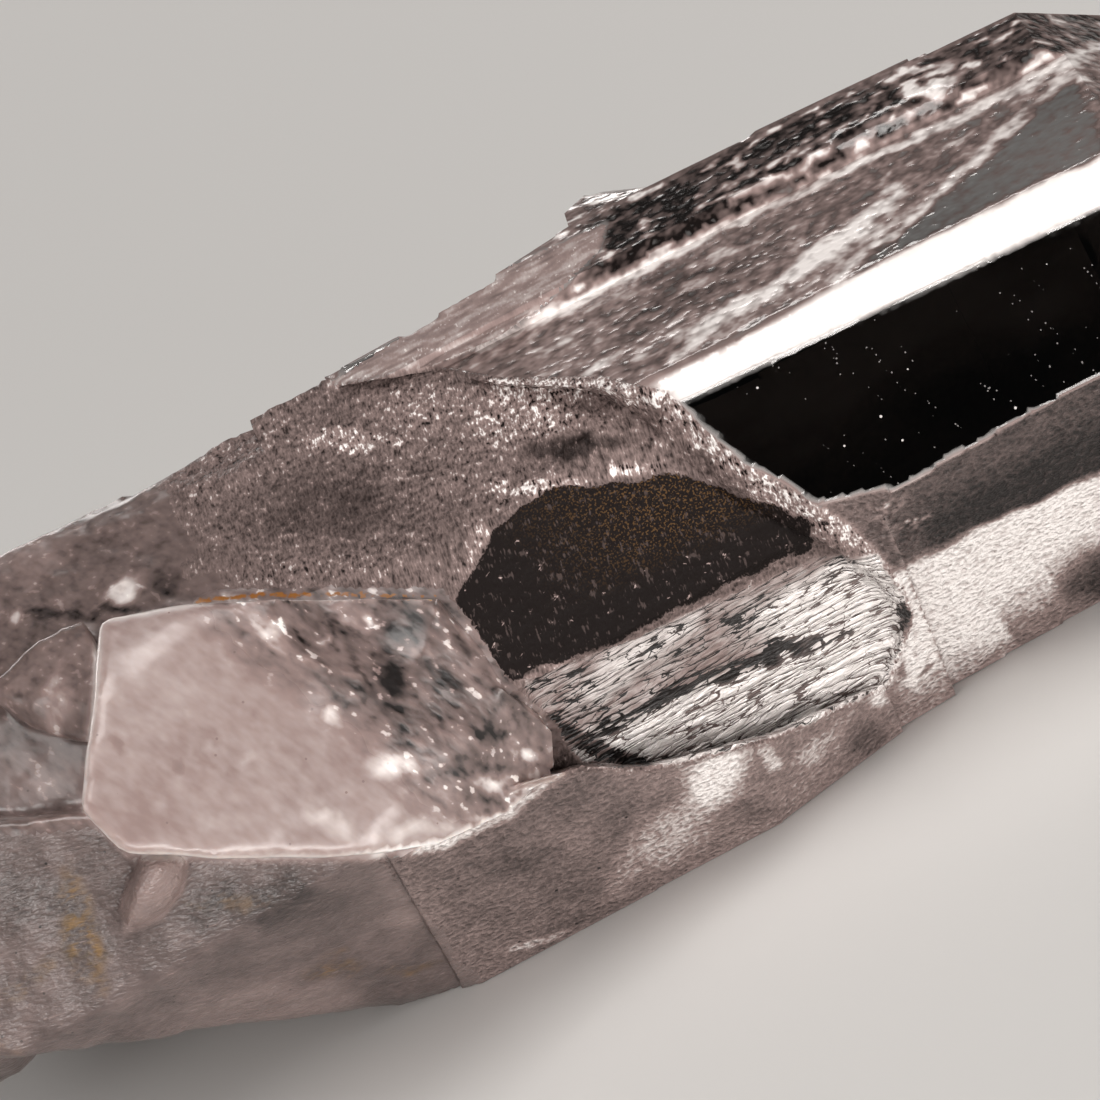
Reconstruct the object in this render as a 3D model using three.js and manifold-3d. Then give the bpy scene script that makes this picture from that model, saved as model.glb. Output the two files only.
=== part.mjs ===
// A natural quartz point of the tapering, ledged kind, about 11 cm long, lying on a wide prism face.
// It is one grown piece: a clear six-sided prism with a six-sided point, a rough broken base, a stub of a
// side crystal on the front, a sunken contact scar beside it, and growth ledges across the prism faces.
//
// The crystal is drawn in its own frame, in millimetres: x runs along the c-axis towards the point, z comes
// out of the clear front face, and y runs across it. The last lines lay it down on its rest face.
import * as THREE from "three";
import { ConvexGeometry } from "three/addons/geometries/ConvexGeometry.js";
import { mergeVertices } from "three/addons/utils/BufferGeometryUtils.js";
import Module from "manifold-3d";

const wasm = await Module();
wasm.setup();

// Driving dimensions
const BASE_END_X = -60; // furthest reach of the broken base
const POINT_END_X = 62; // beyond the tip, where the blank stops
const HALF_DEPTH = 19; // from the c-axis to the clear front face
const SHOULDER_OUT = 14.35; // from the c-axis to the face above the front one
const REST_OUT = 14.9; // from the c-axis to the rest face, at REST_AT_X
const REST_AT_X = 20;
const REST_LEAN = 3.4; // degrees that the rest face closes towards the point
const POINT_NORMAL = 51.8; // degrees from the c-axis to the normal of a point face, as in all quartz
const BLANK_WIDTH = 70; // the block that the faces are cut from
const OUT = 60; // further out than any corner of that block
const CUTTER = 160; // the side of a block that cuts along one plane, longer than the crystal

// Where each prism face looks, in degrees round the c-axis from +y towards +z.
const LOOKS = {
  shoulder: 30, edge: 60, front: 90, bevel: 135, flank: 150, rest: 210, back: 270, far: 330,
};

const radians = THREE.MathUtils.degToRad;

function toSolid(geometry) {
  const bare = geometry.index ? geometry.toNonIndexed() : geometry.clone();
  bare.deleteAttribute("normal");
  bare.deleteAttribute("uv");
  const merged = mergeVertices(bare, 1e-4);
  const mesh = new wasm.Mesh({
    numProp: 3,
    vertProperties: merged.attributes.position.array,
    triVerts: new Uint32Array(merged.index.array),
  });
  return new wasm.Manifold(mesh);
}

function block(points) {
  return toSolid(new ConvexGeometry(points.map((p) => new THREE.Vector3(...p))));
}

// What lies outside one prism face between two values of x, where the face stands start and end off the axis.
function outside(looks, from, to, start, end = start) {
  const profile = new THREE.Shape();
  profile.moveTo(from, start);
  profile.lineTo(to, end);
  profile.lineTo(to, OUT);
  profile.lineTo(from, OUT);
  const width = 2.5 * OUT;
  const geometry = new THREE.ExtrudeGeometry(profile, { depth: width, bevelEnabled: false })
    .translate(0, 0, -width / 2)
    .rotateX(radians(looks));
  return toSolid(geometry);
}

// What lies on the far side of a plane through point, seen along normal.
function beyond(point, normal) {
  const turn = new THREE.Quaternion().setFromUnitVectors(
    new THREE.Vector3(0, 0, 1),
    new THREE.Vector3(...normal).normalize(),
  );
  const geometry = new THREE.BoxGeometry(CUTTER, CUTTER, CUTTER)
    .translate(0, 0, CUTTER / 2)
    .applyQuaternion(turn)
    .translate(...point);
  return toSolid(geometry);
}

// A closed solid through rings of the same number of points, each ring seen anticlockwise from its far end.
function loft(rings) {
  const count = rings[0].length;
  const vertices = rings.flat();
  const faces = [];
  for (let r = 0; r < rings.length - 1; r++)
    for (let i = 0; i < count; i++) {
      const [a, b] = [r * count + i, r * count + ((i + 1) % count)];
      faces.push([a, b, b + count], [a, b + count, a + count]);
    }
  const outline = rings[0].map((p) => new THREE.Vector2(p[0], p[1]));
  const top = (rings.length - 1) * count;
  for (const [a, b, c] of THREE.ShapeUtils.triangulateShape(outline, [])) {
    faces.push([a, c, b]);
    faces.push([top + a, top + b, top + c]);
  }
  const geometry = new THREE.BufferGeometry()
    .setAttribute("position", new THREE.Float32BufferAttribute(vertices.flat(), 3))
    .setIndex(faces.flat());
  return toSolid(geometry);
}

// A shell-shaped hollow, as quartz breaks: a low-sided ball, longer one way than the others.
function scoop({ centre, radii, turn = [0, 0, 0] }) {
  const geometry = new THREE.IcosahedronGeometry(1, 3)
    .scale(...radii)
    .applyQuaternion(new THREE.Quaternion().setFromEuler(new THREE.Euler(...turn.map(radians))))
    .translate(...centre);
  return toSolid(geometry);
}

// The prism faces, as runs of [start x, distance there, distance at the next start]. A jump is a ledge.
const PRISM_RUNS = {
  shoulder: [
    [BASE_END_X, 13.4, 14], [-11.8, 15.0, 15.1], [-6, 15.2, 15.3], [8, 15.4, 15.4], [20, 15.5, 15.4],
    [31, 15.25, 15.0],
  ],
  edge: [[7, 18.95, 18.84], [24, 18.82, 18.78]],
  front: [[BASE_END_X, HALF_DEPTH, HALF_DEPTH]],
  flank: [
    [BASE_END_X, 17.0, 17.4], [-15.2, 18.1, 18.0], [-3, 17.9, 17.9], [5, 17.8, 15.7], [13.4, 15.3, 15.0],
    [17, 14.1, 14.0], [20.5, 13.85, 13.8], [24.2, 13.65, 13.6], [28, 13.5, 13.5], [32, 13.3, 13.2],
  ],
  bevel: [[13.3, 16.25, 16.97], [17.8, 17.2, 17.2]],
  back: [
    [BASE_END_X, 18.6, 18.6], [-22, 19.2, 19.0], [-9, 18.6, 18.5], [4, 18.0, 17.9], [15, 17.5, 17.4],
    [27, 17.0, 16.9],
  ],
  far: [
    [BASE_END_X, 9.4, 9.2], [-20, 9.0, 9.0], [-7, 9.3, 10.3], [4, 11.0, 12.0], [9, 12.1, 12.1],
    [20, 12.3, 12.2], [30, 11.9, 11.7],
  ],
};

// Where the clear shoulder face lies deeper than the rib of a parallel crystal along its upper edge.
const RIB_STEP = { startX: -6, point: [8, 11.7, 8.4], normal: [0.025, 0.08, 1] };

// How far from the axis a prism face stands at x.
function outAt(face, x) {
  if (face === "rest") return REST_OUT - (x - REST_AT_X) * Math.tan(radians(REST_LEAN));
  const runs = PRISM_RUNS[face];
  const i = runs.findLastIndex(([from]) => from <= x);
  const [from, start, end] = runs[i];
  const to = runs[i + 1] ? runs[i + 1][0] : POINT_END_X;
  return start + ((end - start) * (x - from)) / (to - from);
}

// The point faces: which way each looks, and where it starts on its own prism face.
const POINT_FACES = [
  { looks: LOOKS.shoulder, startX: 37.6, out: SHOULDER_OUT },
  { looks: LOOKS.front, startX: 38.4, out: HALF_DEPTH },
  { looks: LOOKS.flank, startX: 36, out: 13.2 },
  { looks: LOOKS.rest, startX: 41, out: 13.8 },
  { looks: LOOKS.back, startX: 35, out: 16.9 },
  { looks: LOOKS.far, startX: 45, out: 11.7 },
];

// The six-sided blank with its ledges, its narrow facet along the front's upper edge, and its point.
function prism() {
  let solid = toSolid(
    new THREE.BoxGeometry(POINT_END_X - BASE_END_X, BLANK_WIDTH, BLANK_WIDTH).translate(
      (POINT_END_X + BASE_END_X) / 2, 0, 0,
    ),
  );
  for (const [face, runs] of Object.entries(PRISM_RUNS))
    runs.forEach(([from, start, end], i) => {
      const to = runs[i + 1] ? runs[i + 1][0] : POINT_END_X + 1;
      solid = solid.subtract(outside(LOOKS[face], from, to + 0.01, start, end));
    });
  const [restFrom, restTo] = [BASE_END_X - 5, POINT_END_X + 5];
  solid = solid.subtract(
    outside(LOOKS.rest, restFrom, restTo, outAt("rest", restFrom), outAt("rest", restTo)),
  );
  const shoulder = outside(LOOKS.shoulder, RIB_STEP.startX, POINT_END_X, SHOULDER_OUT);
  solid = solid.subtract(shoulder.intersect(beyond(RIB_STEP.point, RIB_STEP.normal)));
  const [along, across] = [Math.cos(radians(POINT_NORMAL)), Math.sin(radians(POINT_NORMAL))];
  for (const { looks, startX, out } of POINT_FACES) {
    const [y, z] = [Math.cos(radians(looks)), Math.sin(radians(looks))];
    solid = solid.subtract(beyond([startX, out * y, out * z], [along, across * y, across * z]));
  }
  return solid;
}

// The contact scar, where other crystals once grew against this one. RIM is its edge on the clear faces
// and FOOT the same points at the bottom of its wall, both as [x, y].
const SCAR_RIM = [
  [-62, 26], [-7.2, 26], [-6.9, 13.4], [-1.5, 12.0], [1.7, 9.6], [6.6, 7.2], [8.3, 5.7], [9.4, 4.9],
  [10.3, 2.3], [11.4, -0.4], [13.6, -3.6], [15.3, -6.2], [16.6, -10.5], [16.4, -12.3], [13.6, -15.2],
  [6.8, -14.9], [-0.4, -13.3], [-3.6, -11.6], [-9, -10.4], [-16, -8.4], [-25, -4], [-36, 0], [-62, 3],
];
const SCAR_FOOT = [
  [-62, 26], [-7.2, 26], [-6.9, 13.4], [-1.6, 11.8], [1.5, 9.4], [6.0, 6.8], [7.2, 4.9], [8.0, 3.2],
  [8.8, 1.0], [9.9, -1.6], [12.1, -4.4], [14.0, -6.9], [15.9, -10.6], [15.8, -12.1], [13.4, -14.7],
  [6.8, -14.6], [-0.3, -13.0], [-3.6, -11.3], [-9, -10.1], [-15.8, -8.0], [-24.7, -3.2], [-35.6, 1],
  [-62, 4],
];
const SCAR_FOOT_DEPTH = 16.6; // z at the foot of the wall; the rim stands at HALF_DEPTH
const SCAR_CUT_TOP = 24; // z above the stub's top, and z far below the scar's floor
const SCAR_CUT_BOTTOM = -12;
const SCAR_FACES = [
  { point: [0, 3.2, 17.2], normal: [-0.07, 1, 1] }, // the etched face on the shoulder side
  { point: [1.2, 3.1, 17.2], normal: [0.14, 0.32, 1] }, // the slope from it down to the foot of the wall
  { point: [-3, 0, 17.6], normal: [0.1, 0, 1] }, // the dark lozenge
  { point: [-2.4, 2.2, 17.5], normal: [-0.13, 0.17, 1] }, // where the lozenge falls away behind the stub
  { point: [0, -5.8, 17.3], normal: [0.14, -1.25, 1] }, // the bright stepped patch on the flank side
];
// Steps in the bright patch, each a groove with one steep side: [start x, end x, y, width, depth].
const PATCH_STEPS = [
  [-2.5, 12.2, -6.9, 1.1, 0.3], [0.5, 14.6, -8.5, 1.2, 0.3], [-3, 11, -9.5, 0.9, 0.34],
  [-1.7, 15.4, -10.6, 1.0, 0.5], [-1.2, 10.5, -11.8, 1.0, 0.3], [4.5, 14.2, -12.9, 1.1, 0.34],
];
// Each groove's depth from end to end, as [share of its length, share of its depth].
const STEP_DEPTHS = [[0, 0.1], [0.33, 1], [0.8, 0.7], [1, 0.1]];
const STEP_LEAN = 0.15; // how far the steep side leans over its height
const STEP_CLEARANCE = 1.2; // how far the groove's cutter reaches above the patch

function patchSteps() {
  const { point: at, normal } = SCAR_FACES[SCAR_FACES.length - 1];
  const floorZ = (x, y) => at[2] - (normal[0] * (x - at[0]) + normal[1] * (y - at[1])) / normal[2];
  return PATCH_STEPS.map(([from, to, y, width, depth]) => {
    const section = ([along, share]) => {
      const x = from + (to - from) * along;
      return [
        [x, y + STEP_LEAN, floorZ(x, y + STEP_LEAN) + STEP_CLEARANCE],
        [x, y, floorZ(x, y) - depth * share],
        [x, y - width * share, floorZ(x, y - width * share)],
        [x, y - width, floorZ(x, y - width) + STEP_CLEARANCE],
      ];
    };
    return block(STEP_DEPTHS.flatMap(section));
  });
}

function scarCut() {
  const share = (SCAR_CUT_TOP - HALF_DEPTH) / (HALF_DEPTH - SCAR_FOOT_DEPTH);
  const top = SCAR_RIM.map(([x, y], i) => [
    x + (x - SCAR_FOOT[i][0]) * share, y + (y - SCAR_FOOT[i][1]) * share, SCAR_CUT_TOP,
  ]);
  const rings = [
    SCAR_FOOT.map(([x, y]) => [x, y, SCAR_CUT_BOTTOM]),
    SCAR_FOOT.map(([x, y]) => [x, y, SCAR_FOOT_DEPTH]),
    top,
  ].map((ring) => ring.slice().reverse());
  const region = loft(rings);
  let floor = toSolid(new THREE.BoxGeometry(CUTTER, CUTTER / 2, CUTTER / 2));
  for (const { point, normal } of SCAR_FACES) floor = floor.subtract(beyond(point, normal));
  return region.subtract(floor);
}

// The flake that overhangs the scar along the top edge.
const FLAKE = [
  [-7, 13.4, 4.6], [-1.5, 12.0, 9.2], [2.7, 11.8, 9.6], [5.8, 12.4, 8.6], [9.8, 13.8, 6.2],
  [10.8, 14.6, 3.5], [-7, 13.0, 2.0], [-1.5, 12.6, 2.0], [6, 13.0, 2.0], [10, 13.5, 1.5],
  [4.2, 14.6, 3.5], [-1.1, 13.9, 3.8],
];

// The stub of the side crystal on the front: its broken top, corner by corner, and how deep it is rooted.
const STUB_TOP = [
  [-23.3, 7.4, 21.0], [-18, 5.7, 21.4], [-12, 3.0, 20.6], [-6.6, 0.3, 18.9], [-6.1, -1.4, 18.6],
  [-5.6, -5.6, 18.2], [-4.3, -8.9, 15.6], [-4.9, -10.8, 15.2], [-8.2, -11.7, 17.2], [-12.3, -11.5, 20.2],
  [-16.5, -10.1, 22.6], [-22.4, -7.3, 24.6], [-27.4, -4.6, 25.2], [-28.5, -1.4, 25.3],
  [-25.2, 3.5, 24.0],
];
const STUB_ROOT = { x: -17, y: -2.5, z: 6, lengthShare: 0.92, widthShare: 0.86 };
const STUB_SCOOPS = [
  { centre: [-9.0, 1.5, 30.5], radii: [10.5, 7.5, 12.0], turn: [0, 0, -38] },
  { centre: [-3.5, -9.5, 27.5], radii: [8.5, 7, 11.0], turn: [0, 0, 20] },
  { centre: [-21, 12.5, 27], radii: [9, 6.5, 9], turn: [0, 0, -10] },
];

function stub() {
  const root = STUB_ROOT;
  const foot = STUB_TOP.map(([x, y]) => [
    root.x + (x - root.x) * root.lengthShare, root.y + (y - root.y) * root.widthShare, root.z,
  ]);
  let solid = block([...STUB_TOP, ...foot]);
  for (const hollow of STUB_SCOOPS) solid = solid.subtract(scoop(hollow));
  return solid;
}

// Remains of other crystals: a tooth below the stub, a chip beside it, a lump at the base, a stub behind.
const TOOTH = [
  [-29.75, -8.5, 16.6], [-29.3, -7.0, 16.0], [-27.0, -5.2, 18.2], [-24.8, -6.2, 17.6],
  [-26.05, -7.8, 17.2], [-27.4, -8.5, 17.0], [-28.3, -7.2, 18.6], [-26.2, -6.2, 19.0], [-28, -7, 10],
  [-25.5, -6.5, 10], [-27, -5, 10],
];
const CHIP = [
  [-31.5, 6.8, 15.6], [-27.3, 8.1, 15.0], [-24.2, 7.9, 15.4], [-24.6, 3.2, 19.8], [-26.2, 1.0, 19.2],
  [-29, 3, 17.2], [-30, 5, 10], [-25, 7, 10], [-25, 1, 10],
];
const BASE_LUMP = [
  [-36.4, -11.4, 5], [-37.9, -12.5, 3], [-39.5, -13.3, 2], [-43.2, -13.4, -1], [-46.5, -10.6, 0],
  [-45, -9.0, 6.5], [-39.6, -11.9, 7.5], [-37.5, -12.2, -4], [-43, -12.6, -5], [-38, -6, 8],
  [-37, -6, -6], [-46, -5, -4],
];
const FAR_STUB = [
  [8.8, 15.2, 1.0], [9.1, 16.8, -2.6], [10.6, 17.3, -4.2], [13.6, 16.4, -4.8], [16.4, 15.2, 0.2],
  [9.6, 16.0, -8.6], [13.8, 15.6, -9.8], [16.6, 13.6, -6.6], [9.4, 11, 2], [16, 11, 1], [10.5, 7.5, -11],
  [14, 7.5, -11.5], [16, 9, -8],
];

// Where the base was broken from the rock: planes that cut it off, and the shell-shaped hollows in them.
const BASE_BREAKS = [
  { point: [-57, 0, 0], normal: [-1, 0.12, 0.3] },
  { point: [-47, 13, 0], normal: [-0.5, 1, 0.1] },
  { point: [-25.8, -16.6, 1], normal: [-0.4, -1, -0.05] },
  { point: [-19, -19.0, 1], normal: [-0.25, -1, 0.12] },
  { point: [-50, -4, 13], normal: [-0.75, -0.1, 1] },
  { point: [-51, 4, -14], normal: [-0.8, 0.3, -1] },
  { point: [-30, 0, 17.4], normal: [-0.12, -0.25, 1] },
];
const BASE_SCOOPS = [
  { centre: [-67, -2, 13], radii: [13, 10, 9], turn: [0, 20, 15] },
  { centre: [-63, 12, -6], radii: [10, 9, 13], turn: [0, 0, -20] },
  { centre: [-46, -19, -4], radii: [11, 8, 9], turn: [0, 0, 12] },
  { centre: [-61, -10, -14], radii: [11, 10, 9], turn: [15, 0, 0] },
  { centre: [-44, 17, -16], radii: [12, 9, 8], turn: [0, 25, 0] },
  { centre: [-34.5, -4.5, 27.5], radii: [9, 7, 10.8], turn: [0, 0, 30] },
  { centre: [-24, -19.5, 14.6], radii: [9, 5, 8], turn: [0, 0, 8] },
  { centre: [-48, 6, 23], radii: [9, 7, 9], turn: [0, 0, 40] },
];

// Chips knocked out of the long edges: the two faces that meet there, where along them, and the blow's size.
const EDGE_CHIPS = [
  ["shoulder", "far", -37, 5], ["shoulder", "far", -48, 7], ["rest", "back", -46, 6],
  ["rest", "back", -31, 4], ["rest", "back", 13, 3.5], ["rest", "back", 29, 4.5],
  ["back", "far", -41, 6.5], ["back", "far", -15, 4.5], ["back", "far", 23, 3.6],
  ["back", "far", 3, 3.2], ["flank", "rest", 30, 2.8],
];
const CHIP_OFF_EDGE = 0.72; // how far outside the edge the blow's middle stands, in chip sizes
const CHIP_LENGTH = 1.35; // how much longer than wide a chip is

function edgeChip([one, other, x, size]) {
  const [a, b] = [radians(LOOKS[one]), radians(LOOKS[other])];
  const [outA, outB] = [outAt(one, x), outAt(other, x)];
  const turn = Math.sin(b - a);
  const y = (outA * Math.sin(b) - outB * Math.sin(a)) / turn;
  const z = (outB * Math.cos(a) - outA * Math.cos(b)) / turn;
  const push = 1 + (CHIP_OFF_EDGE * size) / Math.hypot(y, z);
  return scoop({ centre: [x, y * push, z * push], radii: [size * CHIP_LENGTH, size, size] });
}

function crystal() {
  let solid = prism().subtract(scarCut());
  for (const { point, normal } of BASE_BREAKS) solid = solid.subtract(beyond(point, normal));
  for (const hollow of BASE_SCOOPS) solid = solid.subtract(scoop(hollow));
  for (const cut of [...EDGE_CHIPS.map(edgeChip), ...patchSteps()]) solid = solid.subtract(cut);
  for (const points of [FLAKE, TOOTH, CHIP, BASE_LUMP, FAR_STUB]) solid = solid.add(block(points));
  return solid.add(stub());
}

function toGeometry(solid) {
  const { numProp, vertProperties, triVerts } = solid.getMesh();
  const positions = [];
  for (const v of triVerts) positions.push(...vertProperties.subarray(v * numProp, v * numProp + 3));
  const geometry = new THREE.BufferGeometry();
  geometry.setAttribute("position", new THREE.Float32BufferAttribute(positions, 3));
  geometry.computeVertexNormals();
  return geometry;
}

const quartz = new THREE.MeshStandardMaterial({ color: 0xb9aeab, roughness: 0.15, metalness: 0 });
quartz.transparent = true;
quartz.opacity = 0.5;

const point = new THREE.Mesh(toGeometry(crystal()), quartz);
point.name = "quartz_point";

// Turned about its length until the rest face looks down, levelled by its lean, centred on its footprint.
const lying = new THREE.Group();
lying.rotation.set(radians(270 - LOOKS.rest), radians(REST_LEAN), 0, "YXZ");
lying.add(point);
const part = new THREE.Group();
part.add(lying);
const box = new THREE.Box3().setFromObject(part, true);
lying.position.set(-(box.min.x + box.max.x) / 2, -(box.min.y + box.max.y) / 2, -box.min.z);

export default part;
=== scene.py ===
"""The looks of a natural quartz point: its fine surface, its inclusions, and a plain pale studio around it.

Lengths in the code are millimetres in the crystal's own frame, unless a name says otherwise: x runs along
the c-axis towards the point, z comes out of the clear front face, and y runs across it. The camera looks
along -z.
"""

import math

import bpy
import numpy as np
from mathutils import Matrix, Vector
from mathutils.geometry import delaunay_2d_cdt


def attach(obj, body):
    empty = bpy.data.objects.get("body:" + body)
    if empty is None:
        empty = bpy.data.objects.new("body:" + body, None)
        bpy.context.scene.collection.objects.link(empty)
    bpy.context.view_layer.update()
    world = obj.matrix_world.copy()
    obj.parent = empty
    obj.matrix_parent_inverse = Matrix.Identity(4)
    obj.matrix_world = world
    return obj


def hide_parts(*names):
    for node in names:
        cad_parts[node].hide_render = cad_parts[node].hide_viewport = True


bl_info = {
    "name": "Quartz Point",
    "version": (1, 0, 0),
    "blender": (4, 5, 0),
    "location": "View3D > Sidebar > Quartz",
    "description": "Dresses the solid of a quartz point with its etched, frosted and milky surfaces",
    "category": "Add Mesh",
}

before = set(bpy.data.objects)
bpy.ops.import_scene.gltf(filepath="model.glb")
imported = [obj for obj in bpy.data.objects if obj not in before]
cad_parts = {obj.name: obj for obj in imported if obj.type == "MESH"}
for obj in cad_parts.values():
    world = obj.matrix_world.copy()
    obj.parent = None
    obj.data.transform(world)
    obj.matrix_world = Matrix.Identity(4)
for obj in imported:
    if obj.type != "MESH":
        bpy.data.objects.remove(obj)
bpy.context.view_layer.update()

NODE = "quartz_point"
BODY = "root"
MM = 0.001

SEEN_CLOSE_UP = (-43, 42)  # the part of the crystal's length that the camera shows
LEDGE_RINGS = 5  # rings of triangles beside a growth ledge that are smoothed with it
RELAX_ROUNDS = 30
UNTANGLE_ROUNDS = 14
CREASE = math.radians(32)  # a sharper edge is shaded as one

# The studio, in metres.
FLOOR_HALF = 3.0
FLOOR_GAP = 0.05 * MM  # between the floor and the face that the crystal rests on
LIT_HEIGHT = 0.015  # where the softboxes point, above the floor
WORLD_GREY = 0.03
SENSOR_MM = 36
LOOKS_AT_Z = 10  # millimetres in front of the c-axis, where the view has its full width

# How the crystal lies in the part's frame: turned about its length onto its rest face, levelled by that
# face's lean, and set with the zero of its c-axis here.
REST_TURN = math.radians(60)
REST_LEAN = math.radians(3.4)
AXIS_ZERO = Vector((2.5552, 3.8011, 16.0599))
CRYSTAL_TO_PART = (
    Matrix.Translation(AXIS_ZERO) @ Matrix.Rotation(REST_LEAN, 4, "Y") @ Matrix.Rotation(REST_TURN, 4, "X")
)

# Outlines on the front, as [x, y], read off the real crystal.
SCAR = [
    (-62, 26), (-7.2, 26), (-6.9, 13.4), (-1.5, 12.0), (1.7, 9.6), (6.6, 7.2), (8.3, 5.7), (9.4, 4.9),
    (10.3, 2.3), (11.4, -0.4), (13.6, -3.6), (15.3, -6.2), (16.6, -10.5), (16.4, -12.3), (13.6, -15.2),
    (6.8, -14.9), (-0.4, -13.3), (-3.6, -11.6), (-9, -10.4), (-16, -8.4), (-25, -4), (-36, 0), (-62, 3),
]
RIDGE = SCAR[4:15]
LOZENGE = [
    (1.2, 2.9), (5.0, 1.6), (9.0, -0.2), (13.3, -5.0), (12.6, -5.9), (6.5, -5.7), (1.3, -5.9),
    (-3.5, -5.4), (-6.6, -5.2), (-6.1, -0.7), (-2.0, 2.2),
]
PATCH = [
    (-4.5, -5.6), (1.3, -6.2), (6.5, -6.3), (12.8, -6.6), (15.9, -8.0), (16.4, -12.0), (13.6, -15.0),
    (6.8, -14.7), (-0.4, -13.1), (-3.6, -11.2),
]
STUB = [
    (-23.3, 7.4), (-18, 5.7), (-12, 3.0), (-6.6, 0.3), (-6.1, -1.4), (-5.6, -5.6), (-4.3, -8.9),
    (-4.9, -10.8), (-8.2, -11.7), (-12.3, -11.5), (-16.5, -10.1), (-22.4, -7.3), (-27.4, -4.6),
    (-28.5, -1.4), (-25.2, 3.5),
]
TOOTH = [(-29.9, -8.6), (-29.3, -6.9), (-27.0, -5.0), (-24.6, -6.1), (-25.9, -7.9), (-27.4, -8.7)]
CLEAR_WEDGE = [(20.4, 6.0), (28.3, 8.0), (37.4, 10.8), (36.0, 5.2), (31.7, 6.3), (24.1, 5.9)]
UPPER_STREAK = [(10.7, 6.5), (13.7, 7.2), (18.3, 7.6), (23.0, 8.4), (25.7, 9.3)]
RUST_SEAM = [(-18.6, 5.95), (-15.0, 4.55), (-12.1, 3.25), (-9.0, 1.65), (-6.6, 0.4)]

PATCH_SPLIT = [(-4.0, -10.2), (4.0, -10.1), (9.0, -10.6), (13.6, -11.5)]
PATCH_BROW = [(-0.7, -7.8), (2.5, -6.9), (5.6, -6.2)]
# The patch's dark ends are painted shade: at its far end a small facet turned away from the light, and at
# its start the stub's shadow over the patch's edge.
PATCH_END_SHADE = [(16.3, -11.6), (15.6, -13.9), (13.9, -16.0)]
PATCH_START_EDGE_AND_SHADOW = [(-4.2, -8.3), (-2.6, -10.8), (0.0, -13.8)]
SHELL_CRACK = [(-27.8, 9.6), (-24.2, 7.8), (-21.5, 7.0)]

# Lighter and darker places, as centre, half sizes, angle from the c-axis, and change of tone.
# Among the stub's places, the lighter ones include painted highlights (lens-shaped glints in its clearing),
# and the darker ones painted shade seen through the clearing.
STUB_BLOTS = [
    ((-12.5, -6.9), (2.1, 0.9), -20, 0.42), ((-16.9, -7.8), (2.4, 0.9), -56, 0.1),
    ((-10.4, 0.9), (0.9, 0.35), -80, 0.5), ((-13.0, 0.9), (0.5, 0.4), 0, 0.4),
    ((-15.3, 2.9), (1.6, 0.6), -26, 0.2), ((-14.2, -2.8), (0.5, 0.8), -10, 0.35),
    ((-8.7, -9.9), (0.6, 1.2), 20, 0.4), ((-6.0, -9.4), (0.6, 0.5), 0, 0.5),
    ((-10.6, -2.2), (2.0, 1.5), -61, -0.32), ((-8.2, -3.8), (2.4, 1.2), -61, -0.34),
    ((-6.6, -7.8), (1.2, 0.4), -20, -0.3), ((-12.6, -1.6), (4.0, 0.5), -55, -0.24),
    ((-9.0, -0.6), (2.2, 1.2), -20, -0.22), ((-25.2, 0.8), (0.5, 0.4), 0, -0.08),
    ((-22.8, -1.6), (0.7, 0.5), 0, -0.08), ((-12.0, -10.6), (5.0, 0.7), -18, 0.16),
    ((-6.4, -10.8), (2.0, 0.6), 10, 0.18), ((-21.5, -8.6), (5.0, 0.8), -24, 0.12),
]
STUB_CRUMBS = [
    ((-20.4, -2.4), (2.6, 1.2), -40), ((-16.9, -7.7), (2.4, 1.1), -56), ((-22.8, 4.4), (1.0, 0.8), 0),
]
SLOPE_BLOTS = [
    ((1.5, 6.9), (5.0, 2.2), -24, 0.2), ((-7.2, 10.3), (4.2, 0.9), -30, 0.2),
    ((1.1, 3.2), (4.4, 0.8), -22, 0.34), ((-2.4, 10.2), (4.0, 1.6), -20, 0.14),
    ((-19.3, 6.9), (1.6, 1.2), 0, 0.12), ((-9.9, 7.3), (5.6, 3.6), -20, -0.14),
    ((-15.0, 7.6), (4.0, 2.6), -10, -0.04), ((2.8, 4.8), (3.0, 0.8), -24, -0.24),
    ((5.2, 4.2), (1.8, 0.6), -20, -0.18), ((-5.5, 3.0), (3.0, 2.4), 0, -0.03),
    ((-3.4, 1.4), (1.8, 2.2), -10, 0.14), ((6.0, 2.0), (2.0, 0.5), -16, 0.45),
]
SHELL_BLOTS = [
    ((-22.2, 8.2), (1.7, 0.8), 10, 0.6), ((-28.0, 9.6), (0.6, 0.5), 0, 0.6),
    ((-19.7, 7.6), (0.9, 0.9), 0, -0.2), ((-27.4, 4.2), (1.1, 3.0), -26, 0.24),
    ((-24.5, 9.6), (3.0, 0.8), 0, 0.1), ((-29.5, 0.8), (3.0, 2.0), 0, 0.08),
]
BASE_BLOTS = [
    ((-12.0, -15.0), (6.0, 2.4), -20, 0.08), ((-25.5, -16.0), (8.0, 2.6), -20, 0.14),
    ((-22.5, -10.4), (6.0, 1.8), -22, -0.13), ((-34.0, -4.6), (4.0, 2.4), 0, -0.07),
    ((-16.5, -14.6), (2.2, 1.0), -10, 0.1),
]
FLANK_BLOTS = [
    ((4.0, -18.0), (2.0, 1.0), -30, -0.14), ((11.2, -17.4), (1.6, 1.8), 20, -0.22),
    ((-9.0, -14.6), (3.4, 1.4), -15, -0.14), ((-3.2, -15.0), (1.6, 1.2), 0, -0.1),
    ((27.5, -14.6), (4.0, 1.9), 0, -0.36), ((-6.0, -17.0), (4.5, 2.5), 0, -0.05),
    ((9.4, -17.0), (1.6, 1.4), 0, -0.12),
]
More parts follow.
